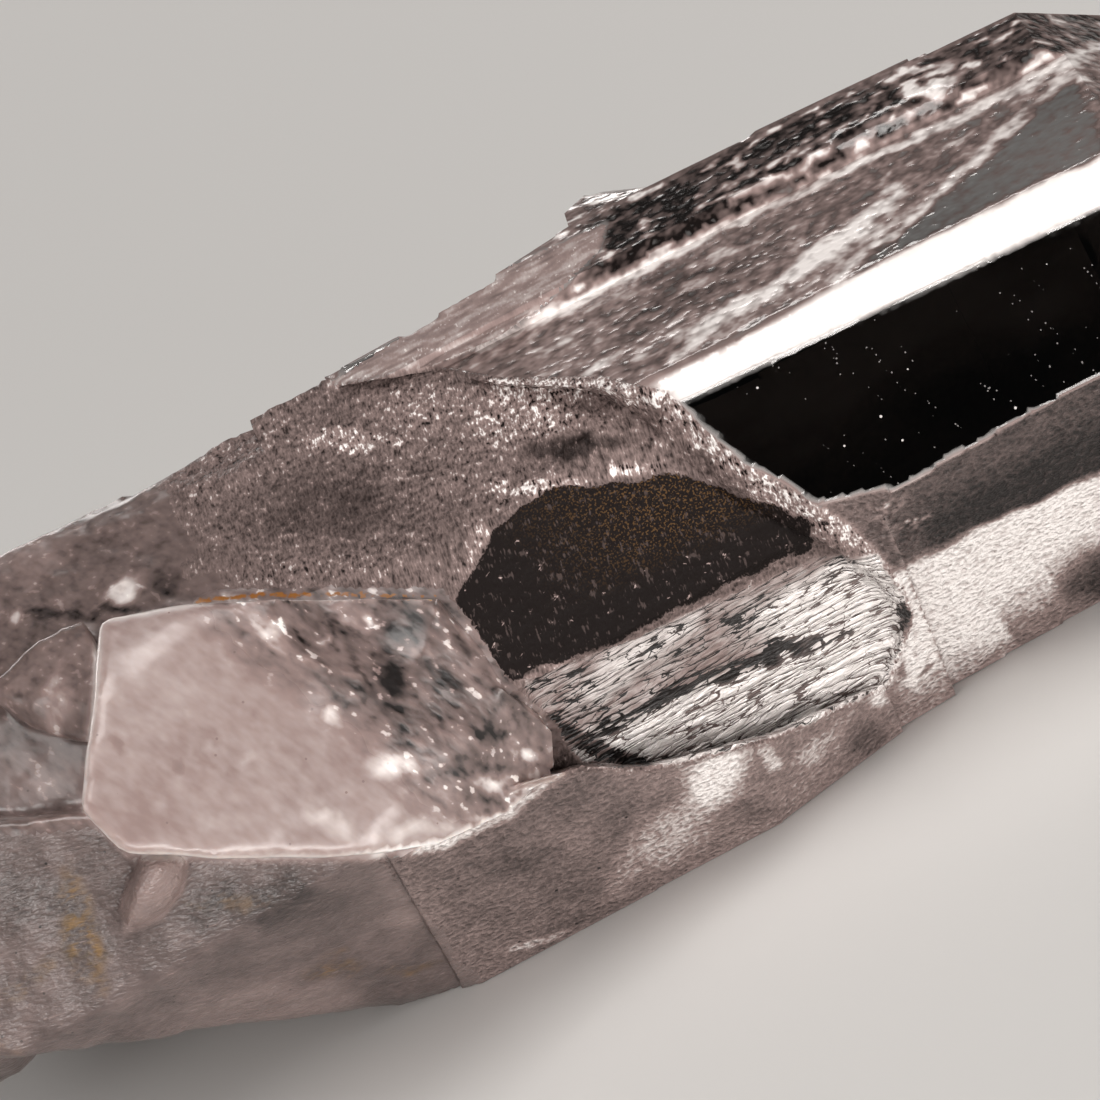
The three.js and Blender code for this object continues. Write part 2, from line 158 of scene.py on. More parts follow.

# The places on the flank where painted light is brightest, and the stains on the base: strength, centre,
# half sizes and angle.
FLANK_PAINTED_LIGHT = [
    (1.0, (2.6, -15.2), (3.4, 2.3), 30), (0.4, (-0.8, -17.0), (4.5, 2.0), 14),
    (0.3, (-4.4, -18.2), (2.6, 1.1), 24), (0.7, (5.9, -15.7), (0.7, 1.2), 30),
    (0.8, (12.8, -15.5), (0.9, 0.6), 0), (0.5, (-10.4, -19.4), (2.8, 0.35), -8),
    (0.4, (8.6, -16.6), (2.6, 1.3), 0),
]
RUST_STAINS = [
    (0.95, (-31.8, -7.4), (1.2, 4.4), -14), (0.6, (-20.8, -15.4), (2.6, 0.9), -20),
    (0.55, (-35.5, -8.8), (2.6, 0.7), 10), (0.45, (-24.0, -9.6), (3.5, 0.5), -24),
    (0.5, (-17.0, -17.6), (2.0, 0.6), -26),
]
FLAKE = [
    (-7, 13.6), (-1.5, 12.0), (2.7, 11.8), (5.8, 12.4), (9.8, 13.8), (10.8, 15.0), (4.2, 15.2),
    (-1.1, 14.4),
]


def smooth(low, high, value):
    """0 below low, 1 above high, and a soft step between them."""
    t = np.clip((value - low) / (high - low), 0.0, 1.0)
    return t * t * (3 - 2 * t)


def hash_lattice(cell, seed):
    """A scrambled whole number for each lattice cell in an (n, 3) array."""
    c = cell.astype(np.int64)
    h = c[:, 0] * 374761393 + c[:, 1] * 668265263 + c[:, 2] * 1440662683 + seed * 1274126177
    h &= 0xFFFFFFFF
    h = ((h ^ (h >> 13)) * 1103515245) & 0xFFFFFFFF
    return h ^ (h >> 16)


GRADIENTS = np.random.default_rng(3).normal(size=(256, 3))
GRADIENTS /= np.linalg.norm(GRADIENTS, axis=1)[:, None]


def noise(points, size, seed=0):
    """Gradient noise from about -1 to 1, with features of a size, a number or one for each axis."""
    p = points / np.asarray(size, dtype=float)
    base = np.floor(p)
    f = p - base
    fade = f * f * f * (f * (f * 6 - 15) + 10)
    total = np.zeros(len(p))
    for corner in np.ndindex(2, 2, 2):
        c = np.array(corner)
        g = GRADIENTS[hash_lattice(base + c, seed) & 255]
        share = np.prod(np.where(c == 1, fade, 1 - fade), axis=1)
        total += share * np.sum(g * (f - c), axis=1)
    return total * 1.7


def layered(points, size, octaves=4, seed=0):
    """Noise with finer and fainter noise on top."""
    size = np.asarray(size, dtype=float)
    total = np.zeros(len(points))
    for k in range(octaves):
        total += noise(points, size / 2**k, seed + 17 * k) * 0.5**k
    return total


def cells(points, size, seed=0):
    """Distances to the nearest two seed points of a jittered grid, and the nearest one's number."""
    p = points / np.asarray(size, dtype=float)
    base = np.floor(p)
    first = np.full(len(p), 9.0)
    second = np.full(len(p), 9.0)
    owner = np.zeros(len(p), dtype=np.int64)
    for offset in np.ndindex(3, 3, 3):
        cell = base + np.array(offset) - 1
        h = hash_lattice(cell, seed)
        jitter = np.stack([(h >> s) & 255 for s in (0, 8, 16)], axis=1) / 255.0
        d = np.linalg.norm(cell + jitter - p, axis=1)
        nearer = d < first
        second = np.where(nearer, first, np.minimum(second, d))
        owner = np.where(nearer, h, owner)
        first = np.where(nearer, d, first)
    return first, second, (owner & 1023) / 1023.0


def inside_distance(xy, outline):
    """Signed distance of (n, 2) points from a closed outline: positive inside it."""
    ring = np.asarray(outline, dtype=float)
    nearest = np.full(len(xy), 1e9)
    inside = np.zeros(len(xy), dtype=bool)
    for a, b in zip(ring, np.roll(ring, -1, axis=0)):
        nearest = np.minimum(nearest, segment_distance(xy, a, b))
        crosses = (a[1] > xy[:, 1]) != (b[1] > xy[:, 1])
        rise = b[1] - a[1] if b[1] != a[1] else 1e-12
        inside ^= crosses & (xy[:, 0] < a[0] + (xy[:, 1] - a[1]) * (b[0] - a[0]) / rise)
    return np.where(inside, nearest, -nearest)


def segment_distance(xy, a, b):
    """Distance of (n, 2) points from the segment between a and b."""
    a, b = np.asarray(a, dtype=float), np.asarray(b, dtype=float)
    along = np.clip(((xy - a) @ (b - a)) / max(float((b - a) @ (b - a)), 1e-12), 0, 1)
    return np.linalg.norm(xy - a - along[:, None] * (b - a), axis=1)


def line_distance(xy, points):
    """Distance of (n, 2) points from an open line of segments."""
    return np.min([segment_distance(xy, a, b) for a, b in zip(points, points[1:])], axis=0)


def turned(points, degrees):
    """Points in axes turned about z, with the first axis at this angle from the c-axis."""
    c, s = math.cos(math.radians(degrees)), math.sin(math.radians(degrees))
    x, y, z = points.T
    return np.stack([x * c + y * s, y * c - x * s, z], axis=1)


def blot(points, centre, radii, degrees=0.0):
    """A soft oval seen from the front: 1 at its centre, 0 outside it, turned from the c-axis."""
    local = turned(points - np.array([*centre, 0.0]), degrees)
    return smooth(1.0, 0.25, np.hypot(local[:, 0] / radii[0], local[:, 1] / radii[1]))


def blots(points, table):
    """The changes of tone of all the soft ovals in a table."""
    return sum(change * blot(points, *where) for *where, change in table)


def stroke(points, line, width):
    """A soft stroke along an open line seen from the front: 1 on the line, 0 at its width from it."""
    return smooth(width, 0.3 * width, line_distance(points[:, :2], line))


class Solid:
    """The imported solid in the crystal's frame: welded vertices, triangles, and the facets they make up."""

    SAME_PLANE = math.cos(math.radians(0.5))
    SPECK = 1e-3  # a triangle with less area has no sure direction
    SLIVER = 0.01  # nor has one less wide than this

    def __init__(self, mesh):
        corners = np.empty(len(mesh.vertices) * 3)
        mesh.vertices.foreach_get("co", corners)
        welded, index = np.unique(np.round(corners.reshape(-1, 3), 7), axis=0, return_inverse=True)
        back = np.array(CRYSTAL_TO_PART.inverted())
        self.points = welded / MM @ back[:3, :3].T + back[:3, 3]
        loops = np.empty(len(mesh.loops), dtype=np.int64)
        mesh.loops.foreach_get("vertex_index", loops)
        self.faces = index.ravel()[loops].reshape(-1, 3)
        a, b, c = (self.points[self.faces[:, k]] for k in range(3))
        cross = np.cross(b - a, c - a)
        self.area = np.linalg.norm(cross, axis=1) / 2
        self.normal = cross / np.maximum(np.linalg.norm(cross, axis=1), 1e-12)[:, None]
        self.sides = self._sides()
        self.facet = self._facets()

    def _sides(self):
        """Each edge, as a sorted pair of vertices, with the triangles on its two sides."""
        sides = {}
        for t, face in enumerate(self.faces.tolist()):
            for a, b in zip(face, face[1:] + face[:1]):
                sides.setdefault((min(a, b), max(a, b)), []).append(t)
        return sides

    def _facets(self):
        """A facet number for each triangle. A sliver goes with the triangle on its longest side."""
        parent = list(range(len(self.faces)))

        def root(t):
            while parent[t] != t:
                parent[t] = parent[parent[t]]
                t = parent[t]
            return t

        lengths = {e: np.linalg.norm(self.points[e[0]] - self.points[e[1]]) for e in self.sides}
        longest = {}
        for edge, pair in self.sides.items():
            for t in pair:
                if t not in longest or lengths[edge] > lengths[longest[t]]:
                    longest[t] = edge
            flat = self.normal[pair[0]] @ self.normal[pair[1]] > self.SAME_PLANE
            if flat and min(self.area[pair[0]], self.area[pair[1]]) > self.SPECK:
                parent[root(pair[0])] = root(pair[1])
        for t, edge in longest.items():
            if 2 * self.area[t] / lengths[edge] < self.SLIVER:
                one, other = self.sides[edge]
                parent[root(one)] = root(other)
        return [root(t) for t in range(len(self.faces))]


class FineMesh:
    """The solid's facets, filled with even small triangles that meet their neighbours' point by point."""

    LEDGE = 0.2  # a facet narrower than this is the riser of a growth ledge
    JITTER = 0.3  # how far a grid point strays, in spacings
    BORDER_GAP = 0.55  # how near a grid point may lie to the border, in spacings
    SAME_POINT = 1e-7
    PAIRS_AT_ONCE = 2_000_000  # points times border edges that are worked out together

    def __init__(self, solid, spacing_at):
        self.solid = solid
        self.spacing_at = spacing_at
        self.points = [p for p in solid.points]
        self.faces = []
        self.side_points = {}
        self.rng = np.random.default_rng(11)
        self.members = {}
        for t, facet in enumerate(solid.facet):
            self.members.setdefault(facet, []).append(t)
        self.risers = self._narrow_facets()
        self.ledges = set()
        self._split_sides()
        for triangles in self.members.values():
            self._fill(triangles)

    def _narrow_facets(self):
        solid = self.solid
        around = dict.fromkeys(self.members, 0.0)
        for (a, b), (one, other) in solid.sides.items():
            if solid.facet[one] != solid.facet[other]:
                length = np.linalg.norm(solid.points[a] - solid.points[b])
                around[solid.facet[one]] += length
                around[solid.facet[other]] += length
        return {f for f, ts in self.members.items() if 2 * solid.area[ts].sum() < self.LEDGE * around[f]}

    def _split_sides(self):
        """Puts evenly spaced points on each edge between two facets, and notes how sharp the edge is."""
        solid = self.solid
        outward = {f: self._plane(ts)[1] for f, ts in self.members.items()}
        self.sharpness = {}
        for (a, b), (one, other) in solid.sides.items():
            f1, f2 = solid.facet[one], solid.facet[other]
            if f1 == f2:
                continue
            p, q = solid.points[a], solid.points[b]
            middle = ((p + q) / 2)[None]
            step = min(self.spacing_at(middle, outward[f])[0] for f in (f1, f2))
            count = max(1, math.ceil(np.linalg.norm(q - p) / step))
            chain = [a]
            for k in range(1, count):
                chain.append(len(self.points))
                self.points.append(p + (q - p) * k / count)
            chain.append(b)
            self.side_points[(a, b)] = chain
            if f1 in self.risers or f2 in self.risers:
                self.ledges.update(chain)
                continue
            angle = math.degrees(math.acos(float(np.clip(outward[f1] @ outward[f2], -1, 1))))
            for v in chain:
                self.sharpness[v] = max(self.sharpness.get(v, 0.0), angle)

    def _plane(self, triangles):
        solid = self.solid
        area = solid.area[triangles]
        normal = (solid.normal[triangles] * area[:, None]).sum(axis=0)
        centre = solid.points[solid.faces[triangles]].mean(axis=(0, 1))
        return centre, normal / max(np.linalg.norm(normal), 1e-12)

    def _fill(self, triangles):
        """Fills one facet: its border points, and a jittered grid of points inside it."""
        solid = self.solid
        centre, normal = self._plane(triangles)
        border = []
        for t in triangles:
            face = solid.faces[t].tolist()
            for a, b in zip(face, face[1:] + face[:1]):
                chain = self.side_points.get((min(a, b), max(a, b)))
                if chain:
                    border.append(chain)
        if not border:
            return
        u = np.cross(normal, [0, 0, 1] if abs(normal[2]) < 0.8 else [0, 1, 0])
        u /= np.linalg.norm(u)
        v = np.cross(normal, u)
        ids = sorted({i for chain in border for i in chain})
        local = {i: k for k, i in enumerate(ids)}
        rel = np.array([self.points[i] for i in ids]) - centre
        ring = np.stack([rel @ u, rel @ v], axis=1)
        edges = [(local[a], local[b]) for chain in border for a, b in zip(chain, chain[1:])]
        inner = self._grid(ring, edges, centre, normal)
        flat = np.vstack([ring, inner]) if len(inner) else ring
        out = delaunay_2d_cdt([Vector(p) for p in flat.tolist()], edges, [], 2, self.SAME_POINT)
        verts, _, faces, origins = out[:4]
        # A notch in the border that another facet fills is left open here.
        placed = np.array([v[:] for v in verts])
        middles = placed[np.array(faces, dtype=np.int64).reshape(-1, 3)].mean(axis=1)
        within = self._clear_of_border(middles, ring, edges, 0.0)
        numbers = []
        for k, xy in enumerate(verts):
            source = [i for i in origins[k] if i < len(ids)]
            if source:
                numbers.append(ids[source[0]])
                continue
            numbers.append(len(self.points))
            self.points.append(centre + u * xy[0] + v * xy[1])
        self.faces += [[numbers[i] for i in f] for f, keep in zip(faces, within) if keep]

    def _grid(self, ring, edges, centre, normal):
        """Jittered points in rows inside the border, at the spacing that the facet asks for."""
        low, high = ring.min(axis=0), ring.max(axis=0)
        fine = float(self.spacing_at(centre[None], normal)[0])
        step = min(fine, float(self.spacing_at(centre[None] + 1.0, normal)[0]))
        xs = np.arange(low[0], high[0], step)
        ys = np.arange(low[1], high[1], step * 0.866)
        if len(xs) * len(ys) == 0:
            return np.zeros((0, 2))
        gx, gy = np.meshgrid(xs, ys)
        gx = gx + (np.arange(len(ys)) % 2)[:, None] * step / 2
        grid = np.stack([gx.ravel(), gy.ravel()], axis=1)
        grid += (self.rng.random(grid.shape) - 0.5) * self.JITTER * step
        return grid[self._clear_of_border(grid, ring, edges, self.BORDER_GAP * step)]

    def _clear_of_border(self, xy, ring, edges, gap):
        """Which points lie inside the border, and farther than the gap from it."""
        parts = np.array_split(xy, max(1, len(xy) * len(edges) // self.PAIRS_AT_ONCE))
        a, b = ring[[e[0] for e in edges]], ring[[e[1] for e in edges]]
        return np.concatenate([self._clear_part(part, a, b, gap) for part in parts])

    def _clear_part(self, xy, a, b, gap):
        rise = np.where(b[:, 1] == a[:, 1], 1e-12, b[:, 1] - a[:, 1])
        x, y = xy[:, :1], xy[:, 1:]
        crosses = (a[:, 1] > y) != (b[:, 1] > y)
        inside = (crosses & (x < a[:, 0] + (y - a[:, 1]) * (b[:, 0] - a[:, 0]) / rise)).sum(axis=1) % 2 == 1
        run = b - a
        length = np.maximum((run**2).sum(axis=1), 1e-12)
        along = np.clip(((x - a[:, 0]) * run[:, 0] + (y - a[:, 1]) * run[:, 1]) / length, 0, 1)
        gap_x = x - a[:, 0] - along * run[:, 0]
        gap_y = y - a[:, 1] - along * run[:, 1]
        return inside & ((gap_x**2 + gap_y**2).min(axis=1) > gap * gap)


class Surface:
    """The fine mesh as arrays: points, triangles, edges, normals, and how sharp the solid's edges are."""

    FOLDED = 0.15  # a triangle whose normal and its corners' agree less than this is folded over

    def __init__(self, fine):
        self.points = np.array(fine.points)
        self.faces = np.array([f for f in fine.faces if len(set(f)) == 3], dtype=np.int64)
        used = np.unique(self.faces)
        renumber = np.full(len(self.points), -1)
        renumber[used] = np.arange(len(used))
        self.points = self.points[used]
        self.faces = renumber[self.faces]
        sharp = np.zeros(len(renumber))
        for v, angle in fine.sharpness.items():
            sharp[v] = angle
        self.sharp = sharp[used]
        ledge = np.zeros(len(renumber))
        ledge[sorted(fine.ledges)] = 1.0
        self.ledge = ledge[used]
        pairs = np.vstack([self.faces[:, [0, 1]], self.faces[:, [1, 2]], self.faces[:, [2, 0]]])
        self.edges = np.unique(np.sort(pairs, axis=1), axis=0)
        self.normals = self.vertex_normals()

    def vertex_normals(self):
        a, b, c = (self.points[self.faces[:, k]] for k in range(3))
        cross = np.cross(b - a, c - a)
        total = np.stack(
            [
                sum(np.bincount(self.faces[:, k], cross[:, axis], len(self.points)) for k in range(3))
                for axis in range(3)
            ],
            axis=1,
        )
        return total / np.maximum(np.linalg.norm(total, axis=1), 1e-12)[:, None]

    def neighbour_mean(self, values):
        i, j = self.edges[:, 0], self.edges[:, 1]
        n = len(self.points)
        count = np.maximum(np.bincount(i, minlength=n) + np.bincount(j, minlength=n), 1)
        columns = values.reshape(n, -1)
        total = np.stack(
            [np.bincount(i, c[j], n) + np.bincount(j, c[i], n) for c in columns.T],
            axis=1,
        )
        return (total / count[:, None]).reshape(values.shape)

    def relax(self, weight, times):
        """Moves points towards their neighbours' mean, by weight from 0 (fixed) to 1."""
        for _ in range(times):
            self.points += (self.neighbour_mean(self.points) - self.points) * (weight * 0.5)[:, None]

    def untangle(self, rounds):
        """Evens out the triangles that relaxing has folded over, until none is left or the rounds end."""
        for _ in range(rounds):
            normals = self.vertex_normals()
            for _ in range(2):
                normals = self.neighbour_mean(normals)
            a, b, c = (self.points[self.faces[:, k]] for k in range(3))
            facing = (np.cross(b - a, c - a) * normals[self.faces].sum(axis=1)).sum(axis=1)
            folded = self.faces[facing < self.FOLDED * np.linalg.norm(np.cross(b - a, c - a), axis=1)]
            if len(folded) == 0:
                return
            weight = np.zeros(len(self.points))
            weight[folded.ravel()] = 1.0
            self.relax(np.minimum(1.0, weight + 2 * self.neighbour_mean(weight)), 6)


def spacing_rule(fine, coarse):
    """Small triangles where the front is seen close up, larger ones behind and at the far ends."""

    def spacing_at(points, normal):
        low, high = SEEN_CLOSE_UP
        seen = (normal[2] > -0.15) & (points[:, 0] > low) & (points[:, 0] < high)
        return np.where(seen, fine, coarse)

    return spacing_at


def zones(s):
    """How much of each kind of surface there is at each point, from 0 to 1."""
    p, n = s.points, s.normals
    x, y, z = p.T
    xy = p[:, :2]
    front = smooth(-0.45, -0.2, n[:, 2])
    wobble = layered(p, 5.0, 3, seed=5)
    fine_wobble = layered(p, 1.6, 3, seed=6)
    zone = {}
    scar = smooth(-0.25, 0.15, inside_distance(xy, SCAR)) * front
    stub_edge = inside_distance(xy, STUB)
    zone["stub"] = smooth(-0.5, 0.0, stub_edge + 0.3) * smooth(10.0, 12.0, z - 0.15 * x - 2.0) * front
    zone["stub"] *= smooth(12.5, 13.5, z + 0.05 * (x + 15))
    lozenge = smooth(-0.5, 0.3, inside_distance(xy, LOZENGE) + 0.25 * fine_wobble)
    zone["lozenge"] = lozenge * scar * (1 - zone["stub"])
    patch = smooth(-0.2, 0.3, inside_distance(xy, PATCH) + 0.15 * fine_wobble)
    zone["patch"] = patch * scar * (1 - zone["lozenge"]) * (1 - zone["stub"])
    rest = scar * (1 - zone["lozenge"]) * (1 - zone["patch"]) * (1 - zone["stub"])
    left = smooth(-15.5, -20.0, x + 1.2 * wobble)
    zone["slope"] = rest * (1 - left)
    zone["shell"] = rest * left
    zone["flake"] = smooth(-0.3, 0.2, inside_distance(xy, FLAKE)) * front
    base = smooth(-13.5, -16.5, x + 0.4 * wobble + 0.15 * (y + 15))
    zone["base"] = base * (1 - scar) * (1 - zone["stub"]) * (1 - zone["flake"])
    # The frosted flank looks down and forward; it starts below the scar and runs to the point.
    flank = smooth(-0.55, -0.75, n[:, 1]) * smooth(0.15, 0.3, n[:, 2])
    zone["flank"] = flank * (1 - scar) * (1 - base)
    zone["prism"] = (1 - scar) * (1 - base) * (1 - zone["flank"]) * (1 - zone["flake"]) * (1 - zone["stub"])
    zone["front_face"] = zone["prism"] * smooth(0.96, 0.99, n[:, 2]) * smooth(7.5, 7.0, y)
    return zone


def raise_relief(s, zone, amount):
    """Moves the points along their normals: growth steps, etch hills, shell ripples and lumps."""
    p = s.points
    x, y, z = p.T
    height = np.zeros(len(p))

    # Growth ladders across the prism faces: low treads of uneven length, with edges that wander a little.
    ladder = layered(p, (2.6, 14, 14), 2, seed=21) * 2.2
    tread = np.floor(ladder) + smooth(0.75, 1.0, ladder - np.floor(ladder))
    above = smooth(5.9, 6.4, y) * smooth(0.0, 0.15, s.normals[:, 2])
    height += zone["prism"] * (1 - zone["front_face"]) * (1 - 0.85 * above) * 0.045 * tread
    height += zone["front_face"] * smooth(14, 9, x) * 0.02 * tread
    height += zone["flank"] * (0.05 * tread + 0.05 * layered(p, (3.5, 5, 5), 2, seed=22))

    # Etched slope: hills that lean the same way, about a millimetre across.
    f1, f2, _ = cells(p, (1.0, 0.7, 0.7), seed=31)
    hills = smooth(0.0, 0.5, f2 - f1)
    height += zone["slope"] * (0.09 * hills + 0.13 * layered(p, (3.2, 2.2, 2.2), 4, seed=32))
    f1, f2, _ = cells(p, (1.5, 1.0, 1.0), seed=33)
    height += zone["lozenge"] * (0.035 * smooth(0.0, 0.3, f2 - f1) + 0.03 * layered(p, 2.2, 2, seed=34))

    # Bright patch: long steps along the c-axis, broken into short lengths.
    steps = layered(p, (9.0, 1.7, 1.7), 3, seed=41) * 2.4
    stair = np.floor(steps) + smooth(0.75, 1.0, steps - np.floor(steps))
    cracks = np.abs(noise(p, (2.2, 1.4, 1.4), seed=42))
    height += zone["patch"] * (0.09 * stair - 0.05 * smooth(0.08, 0.0, cracks))

    # Broken quartz: shell ripples that fade from where the blow fell.
    ring = np.linalg.norm(p - np.array([-30.0, 12.0, 8.0]), axis=1)
    ripple = np.sin(ring * 1.7 + 2.5 * noise(p, 6.0, seed=51)) * smooth(16, 3, ring)
    height += zone["shell"] * (0.03 * ripple + 0.16 * layered(p, 6.0, 3, seed=52))
    height += zone["shell"] * 0.06 * layered(p, 1.4, 3, seed=60)
    height += zone["stub"] * (0.2 * layered(p, 6.0, 2, seed=53) + 0.02 * noise(p, 1.6, seed=54))
    f1, f2, _ = cells(p, 3.4, seed=55)
    lumps = smooth(0.0, 0.5, f2 - f1)
    height += zone["base"] * (0.07 * lumps + 0.2 * layered(p, 6.0, 4, seed=56))
    hollows, _, _ = cells(shaken(p, 5.0, 1.2, 58), 7.5, seed=59)
    height += zone["base"] * smooth(0.0, -0.4, s.normals[:, 2]) * 0.9 * (hollows**2 - 0.3)
    height += zone["flake"] * 0.04 * np.sin(10.0 * (y + 0.35 * z) + 2 * noise(p, 4, seed=57))

    # The edges between growth faces stay straight.
    edge = smooth(22, 34, s.sharp)
    edge = np.maximum(edge, s.neighbour_mean(edge)) * (zone["prism"] + zone["flank"])
    height *= 1 - 0.85 * edge
    resting = smooth(-0.97, -0.995, s.normals @ rest_normal())
    s.points = p + s.normals * (height * amount * (1 - resting))[:, None]
    # Nothing reaches below the plane that the crystal rests on.
    sunk = np.minimum(s.points @ rest_normal() + AXIS_ZERO.z, 0.0)
    s.points -= sunk[:, None] * rest_normal()


def rest_normal():
    """The way up, seen from the crystal's frame."""
    return np.array((CRYSTAL_TO_PART.inverted().to_3x3() @ Vector((0, 0, 1)))[:])


def shaken(points, size, amount, seed):
    """Points pushed about across the front, so that what is drawn on them gets uneven edges."""
    shift = [layered(points, size, 2, seed + k) for k in range(2)]
    return points + amount * np.stack([*shift, np.zeros(len(points))], axis=1)


def upper_marks(p, cloud, fleck):
    """Tone and milk of the upper faces: veils of bubbles that climb towards the point with a clear wedge in
    them, and, above the rib step, a strip with swarms of bubbles. The wedge and the strip are clear quartz,
    painted dark as the shade seen through them."""
    x, y, _ = p.T
    drawn = shaken(p, 2.6, 0.3, 73)
    streaks = layered(turned(drawn, 11), (4.8, 1.3, 1.3), 3, seed=63)
    bright = smooth(0.1, 1.4, streaks + 0.25 * fleck)
    bright = np.maximum(bright, 0.95 * stroke(drawn, UPPER_STREAK, 0.8) * smooth(-1.1, 0.0, fleck))
    bright = np.maximum(bright, 0.85 * stroke(drawn, CLEAR_WEDGE[:3], 0.8) * smooth(-0.9, 0.1, fleck))
    bright = np.maximum(bright, 0.95 * smooth(0.42, 0.1, np.abs(drawn[:, 1] - 11.7)) * smooth(3, 6, x))
    wedge = smooth(-0.3, 0.3, inside_distance(drawn[:, :2], CLEAR_WEDGE) + 0.1 * streaks)
    mottle = layered(p, (1.8, 1.1, 1.1), 2, seed=74)
    tone = 0.36 + 0.08 * cloud + 0.12 * mottle + 0.56 * bright + 0.04 * smooth(20, 30, x)
    milk = 0.85 + 0.15 * cloud + 0.3 * bright
    tone += 0.14 * blot(drawn, (20.5, 7.3), (9.0, 1.6), 8) - 0.1 * blot(drawn, (14.0, 9.6), (7.0, 1.8), 4)
    # The wedge is clear quartz, painted dark as the shade seen through it, and lighter towards the point.
    tone = tone * (1 - wedge) + wedge * (0.04 + 0.14 * smooth(25, 35, x) * smooth(11, 7, y))
    milk = milk * (1 - wedge) + wedge * 0.55

    swarm = smooth(-0.3, 0.5, mottle + 0.5 * fleck)
    swarm *= blot(drawn, (21.0, 13.4), (6.5, 1.2), -8) + blot(drawn, (29.5, 14.0), (5.0, 1.9))
    bubble = smooth(0.3, 0.55, noise(p, (1.3, 0.8, 0.8), seed=64)) * smooth(4, 7, x)
    swarm = np.clip(swarm + 0.85 * bubble, 0, 1)
    rim = smooth(15.2, 15.8, y)
    over = y > 12.3
    near_end = smooth(11, 7, x)
    # Above the rib step the strip is clear quartz too, painted dark as the shade seen through it; its
    # bubbles and outer rim are lighter.
    strip_tone = 0.02 + 0.85 * swarm + 0.25 * rim + 0.1 * smooth(24, 30, x)
    strip_tone += near_end * (0.4 + 0.15 * mottle)
    tone = np.where(over, strip_tone, tone)
    milk = np.where(over, 0.85 + 0.15 * swarm, milk)
    return tone, milk


def flank_marks(p, cloud, fleck):
    """Tone of the frosted flank: brown and dark under the front's edge, then a white stripe of painted light
    in lengths with sharp ends, and soft patches of painted light towards the base."""
    x, y, _ = p.T
    drawn = shaken(p, 3.2, 0.3, 75)
    # Where each length of the white band ends below, from the patch towards the point.
    ends = [20.2, 20.4, 24.0, 24.2, 29.6, 29.8]
    foot = np.interp(x + 0.25 * (y + 12), ends, [-15.8, -14.2, -14.2, -13.0, -13.0, -14.2])
    # The white band and the light patches are painted light: the glow of light reflected inside the crystal,
    # painted onto the flank as white.
    painted_light_band = smooth(-8.7, -9.7, drawn[:, 1] + 0.12 * fleck) * smooth(13.4, 15, x)
    painted_light_band *= smooth(foot - 1.7, foot + 1.5, y + 0.2 * fleck)
    lit = np.maximum.reduce([painted_light_band] + [share * blot(drawn, *where) for share, *where in FLANK_PAINTED_LIGHT])
    tone = 0.3 + 0.08 * cloud + 0.04 * fleck + 0.1 * smooth(-6, 2, x)
    tone = tone * (1 - lit) + lit * (1.0 + 0.05 * cloud)
    tone += blots(drawn, FLANK_BLOTS)
    fan = turned(p, 66)
    rays = smooth(0.0, 0.5, noise(fan, (4.0, 0.7, 0.7), seed=76))
    tone -= 0.5 * rays * blot(p, (15.4, -14.8), (1.3, 2.4), 60)
    # Under the front's edge: light brown, darker in sharp-ended lengths, and darkest along the white band,
    # where shade is painted in.
    under = smooth(-9.6, -8.9, drawn[:, 1]) * smooth(13.8, 15.5, x)
    length = np.floor((x + 0.3 * y) / 5.2)
    length_tone = noise(np.stack([length * 7.3, 0 * x, 0 * x], axis=1), 1.0, seed=68)
    brown = 0.05 + 0.04 * length_tone + 0.08 * smooth(-7.2, -6.0, y) + 0.08 * smooth(21, 17, x)
    brown -= 0.16 * smooth(-7.0, -8.6, y + 0.15 * cloud) * smooth(18.0, 20.0, x)
    glint = smooth(0.1, 0.5, noise(turned(p, 64), (1.6, 0.35, 0.35), seed=69))
    brown += 0.75 * glint * (blot(p, (17.2, -5.9), (1.6, 0.6)) + blot(p, (18.3, -7.3), (1.5, 0.5)))
    return tone * (1 - under) + under * brown


def stub_marks(p, facing, cloud, fleck):
    """Tone of the milky stub, and where it clears: pinkish milk low on the left, and a mottled dark and
    bright sweep to its upper right, where the shade seen through the clearing is painted dark and its glints
    are painted highlights. Its steep rim is lighter with painted light glowing through."""
    x, y, _ = p.T
    drawn = shaken(p, 1.8, 0.35, 77)
    across = (x + 18.6) * 0.905 + (y - 5.7) * 0.426
    clearing = smooth(-1.4, 1.6, across + 0.9 * cloud + 0.3 * fleck)
    mottle = layered(turned(drawn, -61), (3.4, 0.9, 1.4), 4, seed=67)
    tone = 0.54 + 0.03 * cloud + 0.03 * smooth(0.2, 0.9, fleck)
    # Where the milk clears, the shade seen through it is painted in as a darker, mottled tone.
    clear_tone = np.maximum(0.31 + 0.24 * mottle + 0.06 * fleck, 0.13)
    tone = tone * (1 - clearing) + clearing * clear_tone
    tone += blots(drawn, STUB_BLOTS) * (1 + 0.3 * fleck)
    crumbs = smooth(0.1, 0.5, noise(p, 0.8, seed=87))
    tone += 0.1 * crumbs * sum(blot(p, *where) for where in STUB_CRUMBS)
    edge = inside_distance(p[:, :2], STUB)
    # Painted light: the stub's steep rim is made lighter for the light that glows through its thin edges.
    tone += (0.2 - 0.1 * smooth(-16, -11, x)) * smooth(0.7, 0.1, edge) * smooth(0.4, -0.1, facing - 0.5)
    return tone, clearing


